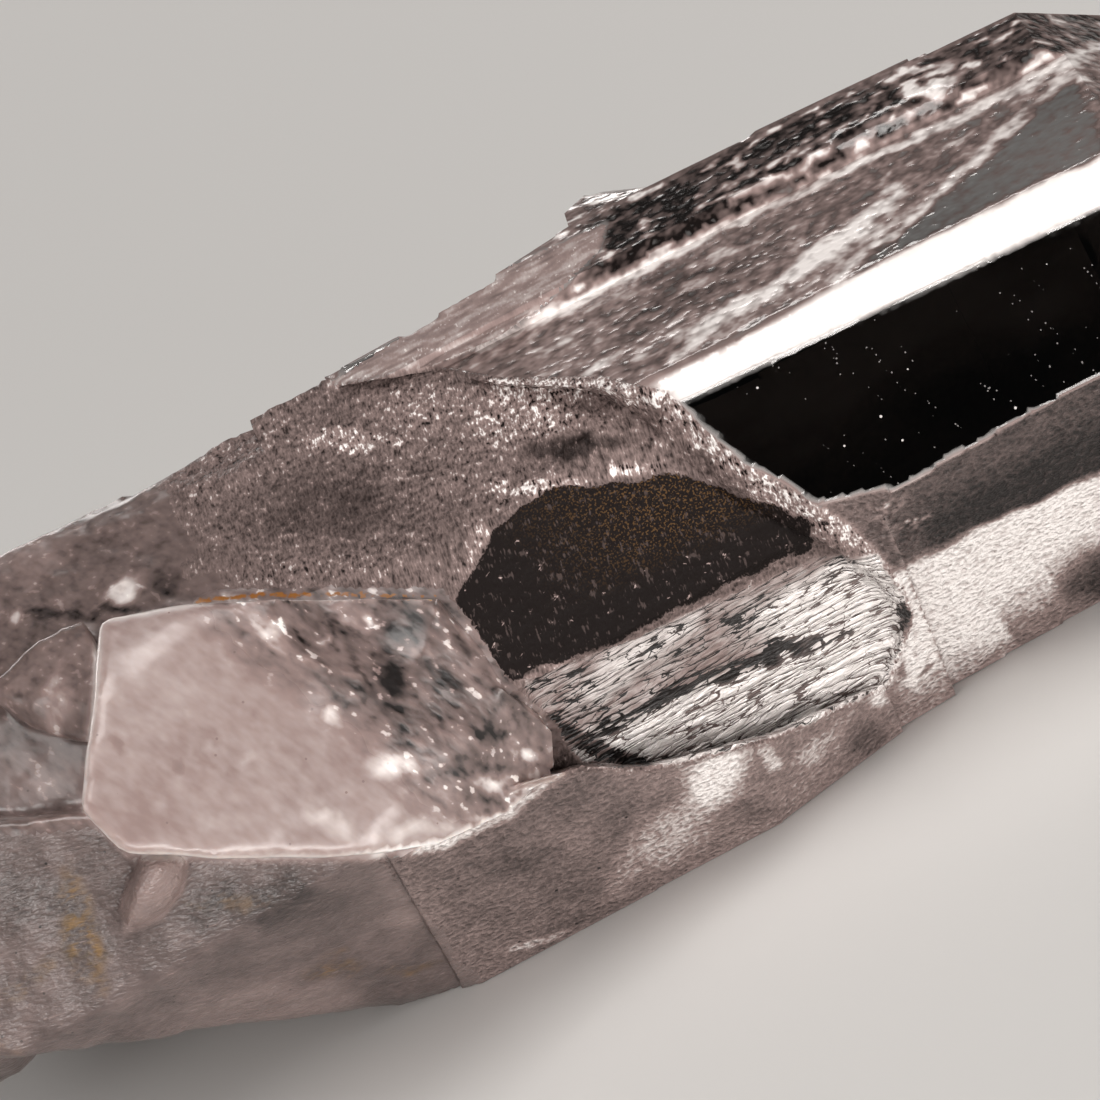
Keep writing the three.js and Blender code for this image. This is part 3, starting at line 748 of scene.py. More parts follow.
def scar_marks(p, facing, cloud, fleck):
    """Tone of the etched slope, the shells behind it and the silvery patch, and the patch's film, and its
    cracks together with the painted shade at its ends, in that order."""
    x = p[:, 0]
    drawn = shaken(p, 1.6, 0.45, 79)
    slope = 0.25 + 0.05 * cloud + 0.03 * fleck + 0.03 * smooth(-4, -12, x)
    slope += blots(drawn, SLOPE_BLOTS)
    slope += 0.3 * stroke(drawn, RIDGE, 1.5) * smooth(-0.25, 0.1, facing)

    _, _, shard = cells(drawn, (2.6, 1.6, 1.6), seed=70)
    shell = 0.28 + 0.06 * cloud + 0.04 * fleck + 0.12 * (shard - 0.35) * smooth(-22, -25, x)
    shell += blots(drawn, SHELL_BLOTS)
    shell -= 0.2 * stroke(drawn, SHELL_CRACK, 0.4)

    white = np.maximum(smooth(-9.8, -10.8, drawn[:, 1] + 0.06 * (x - 4)), smooth(7.5, 10.0, drawn[:, 0]))
    white *= 1 - smooth(-8.3, -7.2, drawn[:, 1]) * smooth(5.0, 7.0, x)
    bundle = stroke(drawn, PATCH_SPLIT, 0.6) * smooth(-5, 0, x) * smooth(14.5, 11.5, x)
    # Painted shade and shadow at the patch's two ends.
    end = np.maximum(stroke(p, PATCH_END_SHADE, 0.75), 0.8 * stroke(p, PATCH_START_EDGE_AND_SHADOW, 0.6))
    patch = 0.52 + 0.06 * cloud + 0.1 * fleck + 0.25 * stroke(drawn, PATCH_BROW, 1.3)
    patch = patch * (1 - white) + white
    patch = patch * (1 - 0.2 * bundle) * (1 - 0.9 * end)
    film = white * (1 - bundle) * (1 - end)
    return slope, shell, patch, film, np.maximum(bundle, end)


def paint_masks(s, zone):
    """The masks the materials read, from 0 to 1: tone (dark to white), milk (clear to opaque), pale (share
    of pale flecks, which are partly painted glints), shaded_lozenge (the lozenge, painted dark as shade),
    etch, film (splits that mirror light), crack_and_shade (cracks, and the painted shade at the patch's
    ends), clearing (where the stub's milk thins), iron, rust, dust, bubbly and worn."""
    p = s.points
    x, y, _ = p.T
    facing = s.normals[:, 2]
    # Soft clouds 6 mm across and flecks a millimetre across, which all the tones share.
    cloud = layered(p, 6.0, 4, seed=61)
    fleck = layered(p, 1.3, 3, seed=62)
    to_base = smooth(-8, -34, x)
    upper_tone, upper_milk = upper_marks(p, cloud, fleck)
    stub_tone, clearing = stub_marks(p, facing, cloud, fleck)
    slope_tone, shell_tone, patch_tone, film, crack_and_shade = scar_marks(p, facing, cloud, fleck)
    upper = smooth(5.9, 6.4, y) * smooth(0.0, 0.15, facing) * (1 - zone["front_face"])
    # A white band of painted light along the front's upper edge: the glint of light reflected inside the
    # crystal, painted in as opaque white.
    band_wave = 0.45 * noise(p, (1.8, 50, 50), seed=65) * smooth(26, 32, x)
    painted_light_band = smooth(5.9, 5.0, y + band_wave - 0.5 * smooth(12, 24, x)) * smooth(8, 10.5, x)
    painted_light_band *= smooth(3.9, 4.3, y + 0.02 * (x - 10))
    painted_light_band *= smooth(0.3, 0.6, facing)
    tooth = smooth(-0.1, 0.2, inside_distance(p[:, :2], TOOTH)) * smooth(-0.1, 0.2, facing)
    behind = smooth(0.0, -0.4, facing)
    blotch = layered(p, (7.0, 3.5, 3.5), 4, seed=85)
    base_tone = 0.2 + 0.05 * cloud + 0.02 * fleck + 0.24 * tooth + behind * (0.1 + 0.2 * blotch)
    base_tone += blots(shaken(p, 3.0, 0.6, 81), BASE_BLOTS) * smooth(-0.3, 0.1, facing)

    # Behind, soft cloudy veils with clear windows between them close up towards the base.
    near_base = smooth(-3.0, -14.0, x + cloud)
    veil = smooth(-0.5, 0.7, layered(p, (13.0, 4.5, 4.5), 3, seed=71))
    side_tone = 0.36 + 0.22 * veil + 0.08 * blotch
    tone = {
        "prism": upper * upper_tone
        + (1 - upper) * (side_tone * (1 - near_base) + near_base * base_tone)
        + painted_light_band,
        "flank": flank_marks(p, cloud, fleck) * (1 - 0.6 * to_base) + 0.25 * 0.6 * to_base,
        "slope": slope_tone,
        "lozenge": 0.3 + 0.1 * fleck,
        "flake": 0.5 + 0.2 * layered(turned(p, 14), (5.0, 0.35, 0.35), 2, seed=72) + 0.1 * fleck,
        "patch": patch_tone,
        "stub": stub_tone,
        "shell": shell_tone,
        "base": base_tone,
    }
    # Pale and opaque around the scar; along the flank's lower edge, a painted highlight.
    rim = smooth(1.1, 0.3, np.abs(inside_distance(p[:, :2], SCAR))) * smooth(-0.6, -0.2, facing)
    rim = np.maximum(rim, smooth(-0.35, -0.6, s.normals[:, 1]) * smooth(-0.47, -0.3, facing))
    rim = rim * (1 - zone["front_face"])
    milk = {
        "prism": upper * upper_milk * smooth(-8, 2, x)
        + (1 - zone["front_face"]) * (1 - upper) * np.maximum(0.62 + 0.33 * veil, near_base)
        + painted_light_band
        + 0.9 * rim,
        "flank": 1.0,
    }
    mask = {"tone": sum(zone[name] * value for name, value in tone.items())}
    mask["milk"] = sum(zone[name] * value for name, value in milk.items())
    # Pale flecks on the slope, partly painted glints.
    mask["pale"] = zone["slope"] * np.clip(slope_tone - 0.22, 0, 1) * 1.2
    # The lozenge, painted dark as shade.
    mask["shaded_lozenge"] = zone["lozenge"]
    mask["etch"] = zone["slope"] + zone["lozenge"] + 0.12 * zone["flake"]
    mask["film"] = zone["patch"] * film
    # Cracks, with the painted shade at the patch's ends.
    mask["crack_and_shade"] = zone["patch"] * crack_and_shade
    mask["clearing"] = zone["stub"] * clearing + 0.4 * zone["shell"]
    mask["iron"] = smooth(-2.5, 6.0, x + 1.5 * cloud) * smooth(-4.0, -1.5, y)
    seam = np.clip(1 - line_distance(p[:, :2], RUST_SEAM), 0, 1) * smooth(-0.2, 0.3, facing)
    drawn = shaken(p, 2.0, 0.7, 83)
    stain = sum(share * blot(drawn, *where) for share, *where in RUST_STAINS)
    stain += 0.3 * smooth(0.35, 0.8, cloud) * smooth(-34, -40, x)
    mask["rust"] = stain * zone["base"] * (1 - tooth) + seam * (1 - zone["base"])
    mask["dust"] = zone["front_face"]
    mask["bubbly"] = 0.15 + 0.85 * upper * smooth(-6, 0, x) * (1 - 0.5 * smooth(40, 44, x))
    mask["worn"] = zone["prism"] * near_base
    return {name: np.clip(value, 0, 1) for name, value in mask.items()}


def material_choice(s, zone):
    """Which material each triangle takes, as an index into CRYSTAL_MATERIALS."""
    share = np.stack(
        [
            zone["prism"],
            zone["flank"],
            zone["slope"] + zone["lozenge"] + zone["flake"],
            zone["patch"],
            zone["stub"] + zone["shell"],
            zone["base"],
        ]
    )
    return share[:, s.faces].mean(axis=2).argmax(axis=0)


def make_mesh(name, points, faces):
    """A Blender mesh object from points in millimetres in the crystal's frame."""
    to_part = np.array(CRYSTAL_TO_PART)
    placed = (points @ to_part[:3, :3].T + to_part[:3, 3]) * MM
    mesh = bpy.data.meshes.new(name)
    faces = np.asarray(faces, dtype=np.int32)
    size = faces.shape[1]
    mesh.vertices.add(len(placed))
    mesh.vertices.foreach_set("co", placed.ravel())
    mesh.loops.add(faces.size)
    mesh.loops.foreach_set("vertex_index", faces.ravel())
    mesh.polygons.add(len(faces))
    mesh.polygons.foreach_set("loop_start", np.arange(0, faces.size, size, dtype=np.int32))
    mesh.update(calc_edges=True)
    mesh.validate()
    obj = bpy.data.objects.new(name, mesh)
    bpy.context.scene.collection.objects.link(obj)
    return obj


def hex_colour(text):
    """An sRGB hex colour as Blender's linear values."""
    values = [int(text[i : i + 2], 16) / 255 for i in (1, 3, 5)]
    linear = [v / 12.92 if v <= 0.04045 else ((v + 0.055) / 1.055) ** 2.4 for v in values]
    return (*linear, 1.0)


class Crystal:
    """A rock crystal material being made: its node tree, and the masks that it reads."""

    IOR = 1.544
    # How far red, green and blue light spread in milky quartz, beside each other.
    RED_FIRST = (1.0, 0.85, 0.75)

    def __init__(self, name, *masks):
        self.settings = bpy.context.scene.quartz_crystal
        self.material = bpy.data.materials.new(name)
        self.material.use_nodes = True
        self.tree = self.material.node_tree
        self.tree.nodes.clear()
        self.grown = self.add("Attribute", out="Vector", attribute_name="grown_mm")
        self.mask = {mask: self.add("Attribute", out="Fac", attribute_name=mask) for mask in masks}

    def add(self, kind, inputs=(), out=0, **settings):
        """Adds a node, sets its settings, and fills its inputs, by number or by name, with values or with
        links from other nodes. Gives the output that is asked for, or a node that has none."""
        node = self.tree.nodes.new("ShaderNode" + kind)
        for key, value in settings.items():
            setattr(node, key, value)
        for key, value in inputs.items() if isinstance(inputs, dict) else enumerate(inputs):
            if isinstance(value, bpy.types.NodeSocket):
                self.tree.links.new(value, node.inputs[key])
            else:
                node.inputs[key].default_value = value
        return node.outputs[out] if node.outputs else node

    def formula(self, *terms):
        """Numbers and sockets added up, after each tuple of them is multiplied."""
        total = None
        for term in terms:
            first, *factors = term if isinstance(term, tuple) else (term,)
            for factor in factors:
                first = self.add("Math", [first, factor], operation="MULTIPLY")
            total = first if total is None else self.add("Math", [total, first], operation="ADD")
        return total

    def pattern(self, kind, size_mm, degrees=0.0, shake=0.0, detail=None, **settings):
        """A texture with features of a real size, a number or one for each axis, turned from the c-axis.
        Shake makes its lines uneven."""
        sizes = size_mm if isinstance(size_mm, tuple) else (size_mm,) * 3
        turn = (0, 0, math.radians(degrees))
        place = {"Vector": self.grown, "Scale": sizes, "Rotation": turn}
        place = self.add("Mapping", place, vector_type="TEXTURE")
        if shake:
            push = self.add("TexNoise", {"Vector": place, "Scale": 1.7, "Detail": 3.0}, "Color")
            place = self.add("VectorMath", [push, (shake,) * 3, place], operation="MULTIPLY_ADD")
        inputs = {"Vector": place, "Scale": 1.0}
        if detail is not None:
            inputs["Detail"] = detail
        return self.add(kind, inputs, **settings)

    def rusted(self, colour, grain):
        """The rust seam over a colour: a line about 0.15 mm wide with a crumbled edge."""
        share = self.add("MapRange", [self.formula(self.mask["rust"], (grain, 0.4)), 1.07, 1.13])
        return self.add("Mix", {0: share, 6: colour, 7: hex_colour("#A06A30")}, 2, data_type="RGBA")

    def quartz_colour(self, tone):
        """The colour of quartz from the dark of its depth through pinkish milk to white."""
        pick = self.settings
        dark, milk, white = (hex_colour(c) for c in (pick.dark_colour, pick.milk_colour, pick.white_colour))
        low, high = (self.add("MapRange", [tone, start, start + 0.5]) for start in (0.0, 0.5))
        low = self.add("Mix", {0: low, 6: dark, 7: milk}, 2, data_type="RGBA")
        return self.add("Mix", {0: high, 6: low, 7: white}, 2, data_type="RGBA")

    def finish(self, colour, roughness, clear, height, bump_mm, inside=None, **more):
        """Joins everything to one Principled shader. Clear is the share of light that passes through, and
        inside is what fills the crystal."""
        inputs = {
            "Base Color": colour,
            "Roughness": roughness,
            "Transmission Weight": clear,
            "IOR": self.IOR,
            "Normal": self.add("Bump", {"Height": height, "Distance": bump_mm * MM}),
            **{name.replace("_", " "): value for name, value in more.items()},
        }
        ends = {"Surface": self.add("BsdfPrincipled", inputs)}
        if inside:
            ends["Volume"] = inside
        self.add("OutputMaterial", ends)
        return self.material


def growth_faces():
    """Rock crystal, natural growth faces: smooth as glass and clear, with milky veils above the front."""
    c = Crystal("Rock crystal, natural growth faces", "milk", "dust", "bubbly", "tone", "worn")
    milk = c.mask["milk"]
    # Dust on the front, 0.15 mm wide, and bubbles in the veils, half a millimetre across.
    dust = c.add("Math", [c.pattern("TexVoronoi", 1.7), 0.045], operation="LESS_THAN")
    dust = c.formula((dust, c.mask["dust"]))
    bubbles = c.pattern("TexNoise", (0.75, 0.55, 0.6), 11.0, detail=1.2)
    bubbles = c.formula((c.formula(-0.5, bubbles), c.mask["bubbly"]))
    tone = c.formula(c.mask["tone"], (bubbles, 0.75), dust)
    veil = c.add("Math", [milk, c.formula(1.0, (bubbles, 1.1))], operation="MULTIPLY", use_clamp=True)
    # Trails of finer dust along old scratches across the front.
    scratch = c.formula(-0.5, c.pattern("TexNoise", (14.0, 1.3, 1.3), -67.0, detail=0.0))
    scratch = c.add("Math", [c.add("Math", [scratch], operation="ABSOLUTE"), 0.012], operation="LESS_THAN")
    trail = c.add("Math", [c.pattern("TexVoronoi", 0.25), 0.2], operation="LESS_THAN")
    trail = c.formula((scratch, trail, c.mask["dust"]))
    solid = c.add("Math", [veil, c.formula((dust, 0.6), (trail, 0.25))], operation="MAXIMUM")
    share = c.add("Math", [solid, 1.4], operation="MULTIPLY", use_clamp=True)
    colour = {0: share, 6: hex_colour(c.settings.clear_colour), 7: c.quartz_colour(tone)}
    colour = c.add("Mix", colour, 2, data_type="RGBA")
    # Growth waves 6 mm long and dimples half a millimetre wide break up the gloss of the veiled faces.
    waves = c.formula((c.pattern("TexNoise", (6.0, 3.0, 3.0), 11.0, detail=0.0), 0.25), (bubbles, 0.12))
    height = c.formula((waves, c.formula(0.02, (c.add("MapRange", [milk, 0.1, 0.6]), 0.98))))
    roughness = c.formula(0.02, (c.add("MapRange", [milk, 0.3, 0.9]), 0.1), (c.mask["worn"], 0.2))
    clear = c.add("Math", [1.0, solid], operation="SUBTRACT", use_clamp=True)
    # Light dims on its way inside. Only these faces say so, because light enters and leaves by them alone.
    inside = {"Color": hex_colour(c.settings.depth_colour), "Density": c.settings.density}
    return c.finish(colour, roughness, clear, height, 0.35, c.add("VolumeAbsorption", inside))


def frosted_flank():
    """Rock crystal, naturally frosted growth face: orange peel, with the glow of light from inside painted
    into its colour.
    """
    c = Crystal("Rock crystal, frosted growth face", "tone")
    # Orange peel of 0.3 mm grains, clouds a millimetre across, and round pits 0.2 mm wide.
    peel = c.add("MapRange", [c.pattern("TexNoise", 0.34, detail=1.5), 0.28, 0.72])
    glow = c.pattern("TexNoise", (1.8, 1.0, 1.0), detail=2.0)
    pits = c.add("Math", [c.pattern("TexVoronoi", 1.3), 0.08], operation="LESS_THAN")
    tone = c.mask["tone"]
    grain = c.formula((c.formula(-0.5, peel), c.formula(0.12, (tone, 0.38))))
    tone = c.formula(tone, grain, (c.formula(-0.5, glow), 0.16), (pits, -0.25))
    height = c.formula(peel, (pits, -0.4))
    return c.finish(c.quartz_colour(tone), 0.38, 0.0, height, 0.2, Specular_IOR_Level=0.25)


def etched_slope():
    """Rock crystal, naturally etched: fine marks across the c-axis, whose sparkle is partly painted as pale
    flecks, and a lozenge painted dark as shade.
    """
    c = Crystal("Rock crystal, etched slope", "etch", "pale", "tone", "shaded_lozenge", "iron", "rust")
    etch, pale = c.mask["etch"], c.mask["pale"]
    # Etch marks 0.12 mm wide and half a millimetre long across the c-axis, among crumbs 0.4 mm across.
    marks = c.pattern("TexNoise", (0.13, 0.55, 0.3), -8.0, detail=2.0)
    crumbs = c.pattern("TexNoise", 0.45, -30.0, detail=2.0)
    hatch = c.formula(-0.5, c.add("MapRange", [marks, 0.36, 0.64]))
    lumps = c.formula(-0.5, c.add("MapRange", [crumbs, 0.36, 0.64]))
    tone = c.formula((c.mask["tone"], c.formula(1.0, (hatch, etch, 0.75), (lumps, etch, 0.7))))
    rough = c.formula((marks, 0.5), (crumbs, 0.6))
    # Pale flecks where the slope is lighter are partly real crumbs and partly painted glints; darker gaps
    # lie between them.
    crumbs_and_glints = c.add("MapRange", [c.formula(rough, (pale, 0.17)), 0.66, 0.72])
    gaps = c.formula((c.add("MapRange", [c.formula(rough, (pale, -0.05)), 0.44, 0.4]), pale))
    tone = c.formula(tone, (crumbs_and_glints, c.formula(0.22, (pale, 0.45))), (gaps, -0.7))
    # The lozenge is painted dark, as the shade seen through clear quartz. It has a crumbled edge, sparse
    # pale leaves half a millimetre long, and grains of iron oxide that are really 0.02 to 0.05 mm wide,
    # drawn at 0.12 mm so that they show.
    shaded_lozenge = c.add("MapRange", [c.formula(c.mask["shaded_lozenge"], (c.formula(-0.55, rough), 1.4)), 0.42, 0.54])
    iron = c.mask["iron"]
    leaves = c.pattern("TexNoise", (0.6, 0.22, 0.25), 30.0, detail=3.0)
    crossing = c.pattern("TexNoise", (0.5, 0.2, 0.25), -25.0, detail=3.0)
    leaves = c.add("Math", [leaves, crossing], operation="MAXIMUM")
    leaves = c.add("MapRange", [c.formula(leaves, (crumbs, 0.5), (iron, -0.14)), 0.99, 1.04])
    flecks = c.add("MapRange", [c.formula((marks, 0.5), (crumbs, 0.5)), 0.57, 0.63])
    depth = c.formula((leaves, 0.5), (flecks, 0.08))
    tone = c.formula(tone, (shaded_lozenge, c.formula(depth, (tone, -1.0))))
    colour = c.quartz_colour(tone)
    grain = c.formula((c.add("MapRange", [c.pattern("TexNoise", 0.12, detail=1.0), 0.56, 0.62]), iron, shaded_lozenge))
    colour = {0: c.formula((grain, 0.7)), 6: colour, 7: hex_colour("#644A2E")}
    colour = c.add("Mix", colour, 2, data_type="RGBA")
    colour = c.rusted(colour, crumbs)
    height = c.formula((rough, c.formula(etch, (shaded_lozenge, -0.55))))
    return c.finish(colour, c.formula(0.3, (shaded_lozenge, 0.2)), 0.0, height, 0.25, Specular_IOR_Level=0.05)


def stepped_patch():
    """Rock crystal, parted along growth steps: splits that mirror light like foil, and dark cracks, with
    painted shade at the patch's ends.
    """
    c = Crystal("Rock crystal, stepped silvery patch", "film", "crack_and_shade", "tone", "shaded_lozenge")
    film, crack_and_shade = c.mask["film"], c.mask["crack_and_shade"]
    # Plates 1.5 mm long and half as wide, long splits 0.5 mm apart along the c-axis, and foil-like creases.
    cracked = {"feature": "DISTANCE_TO_EDGE"}
    plates = c.pattern("TexVoronoi", (1.5, 0.7, 0.7), 18.0, 0.7, **cracked)
    splits = c.pattern("TexVoronoi", (6.0, 0.55, 0.55), -4.0, 0.7, **cracked)
    creases = c.pattern("TexNoise", (0.9, 0.3, 0.3), 6.0, detail=3.0)
    height = c.formula(creases, (c.add("MapRange", [splits, 0.0, 0.2]), 0.5))
    # Cracks about 0.05 mm wide, which is the least that shows, and 0.2 mm in the dark bundle and in the
    # painted shade at the patch's ends.
    width = c.formula((c.pattern("TexNoise", 1.1, detail=1.0), 0.13), (crack_and_shade, 0.12))
    fine = c.add("Math", [plates, c.formula(-0.035, (width, 0.7))], operation="LESS_THAN")
    long = c.add("Math", [splits, c.formula(-0.045, (width, 1.3))], operation="LESS_THAN")
    lines = c.add("Math", [fine, long], operation="MAXIMUM")
    tone = c.formula(c.mask["tone"], (c.formula(-0.42, creases), 0.5), (lines, -0.8))
    # Where the patch meets the lozenge, it takes the lozenge's painted shade.
    shaded_lozenge = c.add("MapRange", [c.formula(c.mask["shaded_lozenge"], (c.formula(-0.5, creases), 0.7)), 0.42, 0.54])
    tone = c.formula(tone, (shaded_lozenge, c.formula(0.03, (tone, -1.0))))
    metallic = c.formula((film, c.add("Math", [0.2, lines], operation="SUBTRACT", use_clamp=True)))
    roughness = c.formula(0.34, (film, -0.1))
    return c.finish(c.quartz_colour(tone), roughness, 0.0, height, 0.3, Metallic=metallic)


def milky_break():
    """Milky quartz, broken like glass: smooth shell-shaped hollows over clouds of tiny bubbles."""
    c = Crystal("Milky quartz, conchoidal break", "clearing", "tone", "rust")
    clearing = c.mask["clearing"]
    # Clouds of bubbles 0.5 mm across in the milk, sharper and stretched along the sweep where it clears.
    cloud = c.pattern("TexNoise", (1.1, 0.55, 0.6), -61.0, detail=1.6)
    crumbs = c.pattern("TexNoise", (0.5, 0.32, 0.4), -40.0, detail=2.0)
    specks = c.add("Math", [c.pattern("TexVoronoi", 1.5), 0.05], operation="LESS_THAN")
    cloudy = c.formula(0.14, (clearing, 0.5))
    tone = c.formula(c.mask["tone"], (c.formula(-0.5, cloud), cloudy), (specks, -0.1))
    # Glints are painted highlights, and the dark flecks are painted shade seen through the clearing.
    glints = c.formula((c.add("MapRange", [c.formula(cloud, (crumbs, 0.6)), 0.96, 1.04]), clearing))
    shaded_flecks = c.formula((c.add("MapRange", [c.formula(cloud, (crumbs, 0.4)), 0.62, 0.5]), clearing))
    tone = c.formula(tone, (glints, 0.35), (shaded_flecks, -0.09))
    colour = c.rusted(c.quartz_colour(tone), crumbs)
    # Light spreads about 1.5 mm under the surface.
    under = dict(Subsurface_Weight=0.9, Subsurface_Radius=c.RED_FIRST, Subsurface_Scale=1.5 * MM)
    height = c.formula(c.pattern("TexNoise", 2.2, detail=1.0), (cloud, clearing, 0.5))
    return c.finish(colour, c.formula(0.24, (clearing, 0.08)), 0.0, height, 0.13, **under)


def rough_base():
    """Quartz base, rough broken and weathered: grey and cloudy, stained by iron in its hollows."""
    c = Crystal("Rough quartz base", "tone", "rust")
    cloud = c.pattern("TexNoise", 1.6, detail=3.0)
    # Pale flecks 0.15 mm wide that run with the c-axis, a fine grain, and dark specks of the same width.
    scratch = c.add("MapRange", [c.pattern("TexNoise", (1.1, 0.16, 0.16), -8.0, detail=2.0), 0.68, 0.74])
    grain = c.pattern("TexNoise", (0.5, 0.2, 0.2), -8.0, detail=2.0)
    tone = c.formula(c.mask["tone"], (c.formula(-0.5, cloud), 0.22), (scratch, 0.22))
    specks = c.add("Math", [c.pattern("TexVoronoi", 1.1), 0.07], operation="LESS_THAN")
    tone = c.formula(tone, (c.formula(-0.5, grain), 0.2), (specks, -0.16))
    hollows = c.add("MapRange", [c.formula((cloud, 0.6), (grain, 0.5)), 0.44, 0.6])
    rust = c.formula((c.mask["rust"], hollows))
    patchy = c.add("MapRange", [c.pattern("TexNoise", 0.8, detail=2.0), 0.35, 0.65])
    stain = {0: patchy, 6: hex_colour("#43341F"), 7: hex_colour("#77592C")}
    stain = c.add("Mix", stain, 2, data_type="RGBA")
    colour = c.add("Mix", {0: rust, 6: c.quartz_colour(tone), 7: stain}, 2, data_type="RGBA")
    height = c.formula(grain, c.pattern("TexNoise", 1.1, detail=2.0))
    # Weathered quartz lets light in a little, which softens its grain.
    under = dict(Subsurface_Weight=0.5, Subsurface_Radius=c.RED_FIRST, Subsurface_Scale=0.6 * MM)
    return c.finish(colour, c.formula(0.3, (rust, 0.3)), 0.0, height, 0.1, **under)


CRYSTAL_MATERIALS = (growth_faces, frosted_flank, etched_slope, stepped_patch, milky_break, rough_base)


class QuartzCrystalSettings(bpy.types.PropertyGroup):
    fine_spacing: bpy.props.FloatProperty(
        name="Fine spacing", description="Triangle size on the front, in millimetres", default=0.29, min=0.1
    )
    coarse_spacing: bpy.props.FloatProperty(
        name="Coarse spacing", description="Triangle size behind, in millimetres", default=0.62, min=0.1
    )
    relief: bpy.props.FloatProperty(
        name="Relief", description="Height of growth steps and etch marks, as a share", default=1.0, min=0.0
    )
    clear_colour: bpy.props.StringProperty(
        name="Clear", description="sRGB hex of the clear quartz", default="#FBF9F7"
    )
    dark_colour: bpy.props.StringProperty(
        name="Dark", description="sRGB hex of where the crystal looks dark inside", default="#1A1514"
    )
    milk_colour: bpy.props.StringProperty(
        name="Milk", description="sRGB hex of the milky quartz", default="#95827E"
    )
    white_colour: bpy.props.StringProperty(
        name="White", description="sRGB hex of veils, splits and frosted faces", default="#FBF5F2"
    )
    depth_colour: bpy.props.StringProperty(
        name="Depth", description="sRGB hex that light takes on inside the crystal", default="#B4AEAA"
    )
    density: bpy.props.FloatProperty(
        name="Density", description="Absorption per metre of path", default=150.0, min=0.0
    )


class QuartzStageSettings(bpy.types.PropertyGroup):
    view_width: bpy.props.FloatProperty(
        name="View width", description="Width of what the camera sees", default=60.5 * MM, unit="LENGTH"
    )
    camera_distance: bpy.props.FloatProperty(
        name="Camera distance", description="From the lens to the crystal", default=0.40, unit="LENGTH"
    )
    camera_roll: bpy.props.FloatProperty(
        name="Rise", description="How steeply the crystal rises to the right in the view",
        default=math.radians(26), subtype="ANGLE",
    )
    floor_colour: bpy.props.StringProperty(
        name="Floor", description="sRGB hex of the studio paper", default="#D6D5D3"
    )
    light_colour: bpy.props.StringProperty(
        name="Light", description="sRGB hex of the softboxes' light", default="#FFFBF8"
    )
    key_power: bpy.props.FloatProperty(
        name="Key", description="What the power of each softbox is a share of", default=8.5, unit="POWER"
    )


class QUARTZ_OT_crystal(bpy.types.Operator):
    """Fills the solid's facets with fine triangles, raises its relief and gives it its material"""

    bl_idname = "quartz.crystal"
    bl_label = "Grow Crystal"

    def execute(self, context):
        settings = context.scene.quartz_crystal
        slack = 1.0
        rule = spacing_rule(settings.fine_spacing * slack, settings.coarse_spacing * slack)
        solid = Solid(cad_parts[NODE].data)
        surface = Surface(FineMesh(solid, rule))
        soft = smooth(34, 22, surface.sharp)
        rough_end = smooth(-14, -18, surface.points[:, 0])
        near_ledge = surface.ledge
        for _ in range(LEDGE_RINGS):
            near_ledge = np.minimum(1.0, near_ledge + 2 * surface.neighbour_mean(near_ledge))
        near_ledge = near_ledge * soft
        inner_patch = smooth(0.1, 0.6, inside_distance(surface.points[:, :2], PATCH))
        inner_patch *= surface.points[:, 2] > 4
        loose = np.maximum.reduce([soft * (surface.sharp > 0), 0.35 * rough_end, near_ledge, inner_patch])
        surface.relax(loose, RELAX_ROUNDS)
        surface.untangle(UNTANGLE_ROUNDS)
        surface.normals = surface.vertex_normals()
        zone = zones(surface)
        grown = surface.points.copy()
        masks = paint_masks(surface, zone)
        raise_relief(surface, zone, settings.relief)
        crystal = make_mesh("quartz_crystal", surface.points, surface.faces)
        for name, values in masks.items():
            layer = crystal.data.attributes.new(name, "FLOAT", "POINT")
            layer.data.foreach_set("value", values.astype(np.float32))
        layer = crystal.data.attributes.new("grown_mm", "FLOAT_VECTOR", "POINT")
        layer.data.foreach_set("vector", grown.astype(np.float32).ravel())
        crystal.data.polygons.foreach_set("use_smooth", [True] * len(crystal.data.polygons))
        crystal.data.set_sharp_from_angle(angle=CREASE)
        for make in CRYSTAL_MATERIALS:
            crystal.data.materials.append(make())
        crystal.data.polygons.foreach_set("material_index", material_choice(surface, zone).astype(np.int32))
        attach(crystal, BODY)
        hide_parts(NODE)
        print("crystal:", len(surface.points), "points", len(surface.faces), "triangles")
        return {"FINISHED"}


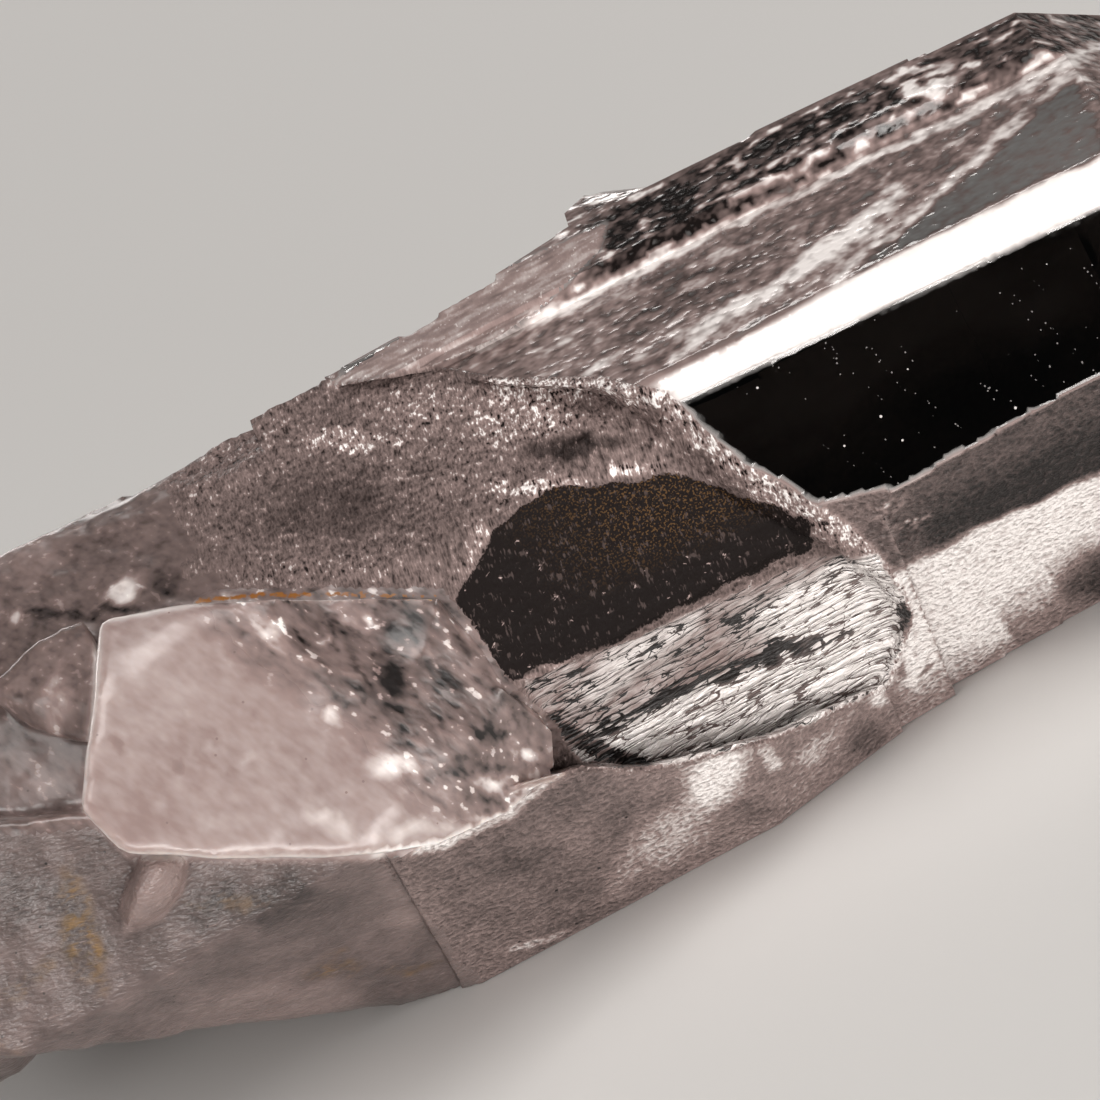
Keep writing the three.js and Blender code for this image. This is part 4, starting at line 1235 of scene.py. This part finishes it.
class QUARTZ_OT_stage(bpy.types.Operator):
    """Sets the pale floor, the soft studio lights and the close-up camera"""

    bl_idname = "quartz.stage"
    bl_label = "Set Stage"

    def execute(self, context):
        settings = context.scene.quartz_stage
        scene = context.scene
        floor_mesh = bpy.data.meshes.new("studio_floor")
        floor_mesh.from_pydata(
            [(x * FLOOR_HALF, y * FLOOR_HALF, 0) for x, y in ((-1, -1), (1, -1), (1, 1), (-1, 1))],
            [],
            [(0, 1, 2, 3)],
        )
        floor = bpy.data.objects.new("studio_floor", floor_mesh)
        scene.collection.objects.link(floor)
        floor.location.z = -FLOOR_GAP
        paper = bpy.data.materials.new("Studio paper, matt uncoated")
        paper.use_nodes = True
        shader = paper.node_tree.nodes["Principled BSDF"]
        shader.inputs["Base Color"].default_value = hex_colour(settings.floor_colour)
        shader.inputs["Roughness"].default_value = 0.9
        floor.data.materials.append(paper)

        world = bpy.data.worlds.new("Dim studio")
        scene.world = world
        world.use_nodes = True
        world.node_tree.nodes["Background"].inputs["Color"].default_value = (*[WORLD_GREY] * 3, 1)

        centre = Vector((0, 0, LIT_HEIGHT))
        for name, place, width, depth, power in (
            ("softbox_front", (-0.6, -0.6, 0.85), 0.8, 0.6, 0.65 * settings.key_power),
            ("softbox_low", (0.25, -1.0, 0.16), 1.2, 0.26, 1.15 * settings.key_power),
            ("softbox_over", (0.2, -0.3, 1.05), 0.6, 0.5, 0.72 * settings.key_power),
            ("strip_top", (0.09, 0.0, 0.8), 0.24, 0.03, 0.04 * settings.key_power),
            ("strip_back", (0.2, 0.85, 0.68), 0.5, 0.07, 0.1 * settings.key_power),
            ("softbox_back", (-0.3, 1.0, 0.1), 0.9, 0.16, 0.3 * settings.key_power),
        ):
            lamp = bpy.data.lights.new(name, "AREA")
            lamp.shape = "RECTANGLE"
            lamp.size = width
            lamp.size_y = depth
            lamp.energy = power
            lamp.color = hex_colour(settings.light_colour)[:3]
            light = bpy.data.objects.new(name, lamp)
            scene.collection.objects.link(light)
            light.location = place
            light.rotation_euler = (centre - Vector(place)).to_track_quat("-Z", "Y").to_euler()

        lens = bpy.data.cameras.new("close_up")
        lens.sensor_width = SENSOR_MM
        lens.lens = SENSOR_MM * settings.camera_distance / settings.view_width
        camera = bpy.data.objects.new("close_up", lens)
        scene.collection.objects.link(camera)
        roll = settings.camera_roll
        right = Vector((math.cos(roll), -math.sin(roll), 0))
        up = Vector((math.sin(roll), math.cos(roll), 0))
        pose = Matrix((right, up, Vector((0, 0, 1)))).transposed().to_4x4()
        pose.translation = Vector((0, 0, LOOKS_AT_Z + settings.camera_distance / MM))
        pose = CRYSTAL_TO_PART @ pose
        pose.translation *= MM
        camera.matrix_world = pose
        scene.camera = camera

        scene.view_settings.view_transform = "Standard"
        scene.cycles.max_bounces = 10
        scene.cycles.transmission_bounces = 9
        scene.cycles.glossy_bounces = 5
        scene.cycles.diffuse_bounces = 2
        scene.cycles.caustics_refractive = False
        scene.cycles.caustics_reflective = False
        return {"FINISHED"}


class QUARTZ_PT_panel(bpy.types.Panel):
    """Lists the steps that dress the quartz point"""

    bl_idname = "QUARTZ_PT_panel"
    bl_label = "Quartz Point"
    bl_space_type = "VIEW_3D"
    bl_region_type = "UI"
    bl_category = "Quartz"

    def draw(self, context):
        for group in (context.scene.quartz_crystal, context.scene.quartz_stage):
            box = self.layout.box()
            for name in group.bl_rna.properties.keys():
                if name not in ("rna_type", "name"):
                    box.prop(group, name)
        for operator in OPERATORS:
            self.layout.operator(operator.bl_idname)


OPERATORS = (QUARTZ_OT_crystal, QUARTZ_OT_stage)
CLASSES = (QuartzCrystalSettings, QuartzStageSettings, *OPERATORS, QUARTZ_PT_panel)


def register():
    for cls in CLASSES:
        bpy.utils.register_class(cls)
    bpy.types.Scene.quartz_crystal = bpy.props.PointerProperty(type=QuartzCrystalSettings)
    bpy.types.Scene.quartz_stage = bpy.props.PointerProperty(type=QuartzStageSettings)


def unregister():
    del bpy.types.Scene.quartz_stage
    del bpy.types.Scene.quartz_crystal
    for cls in reversed(CLASSES):
        bpy.utils.unregister_class(cls)


def main():
    register()
    bpy.ops.quartz.crystal()
    bpy.ops.quartz.stage()


if __name__ == "__main__":
    main()
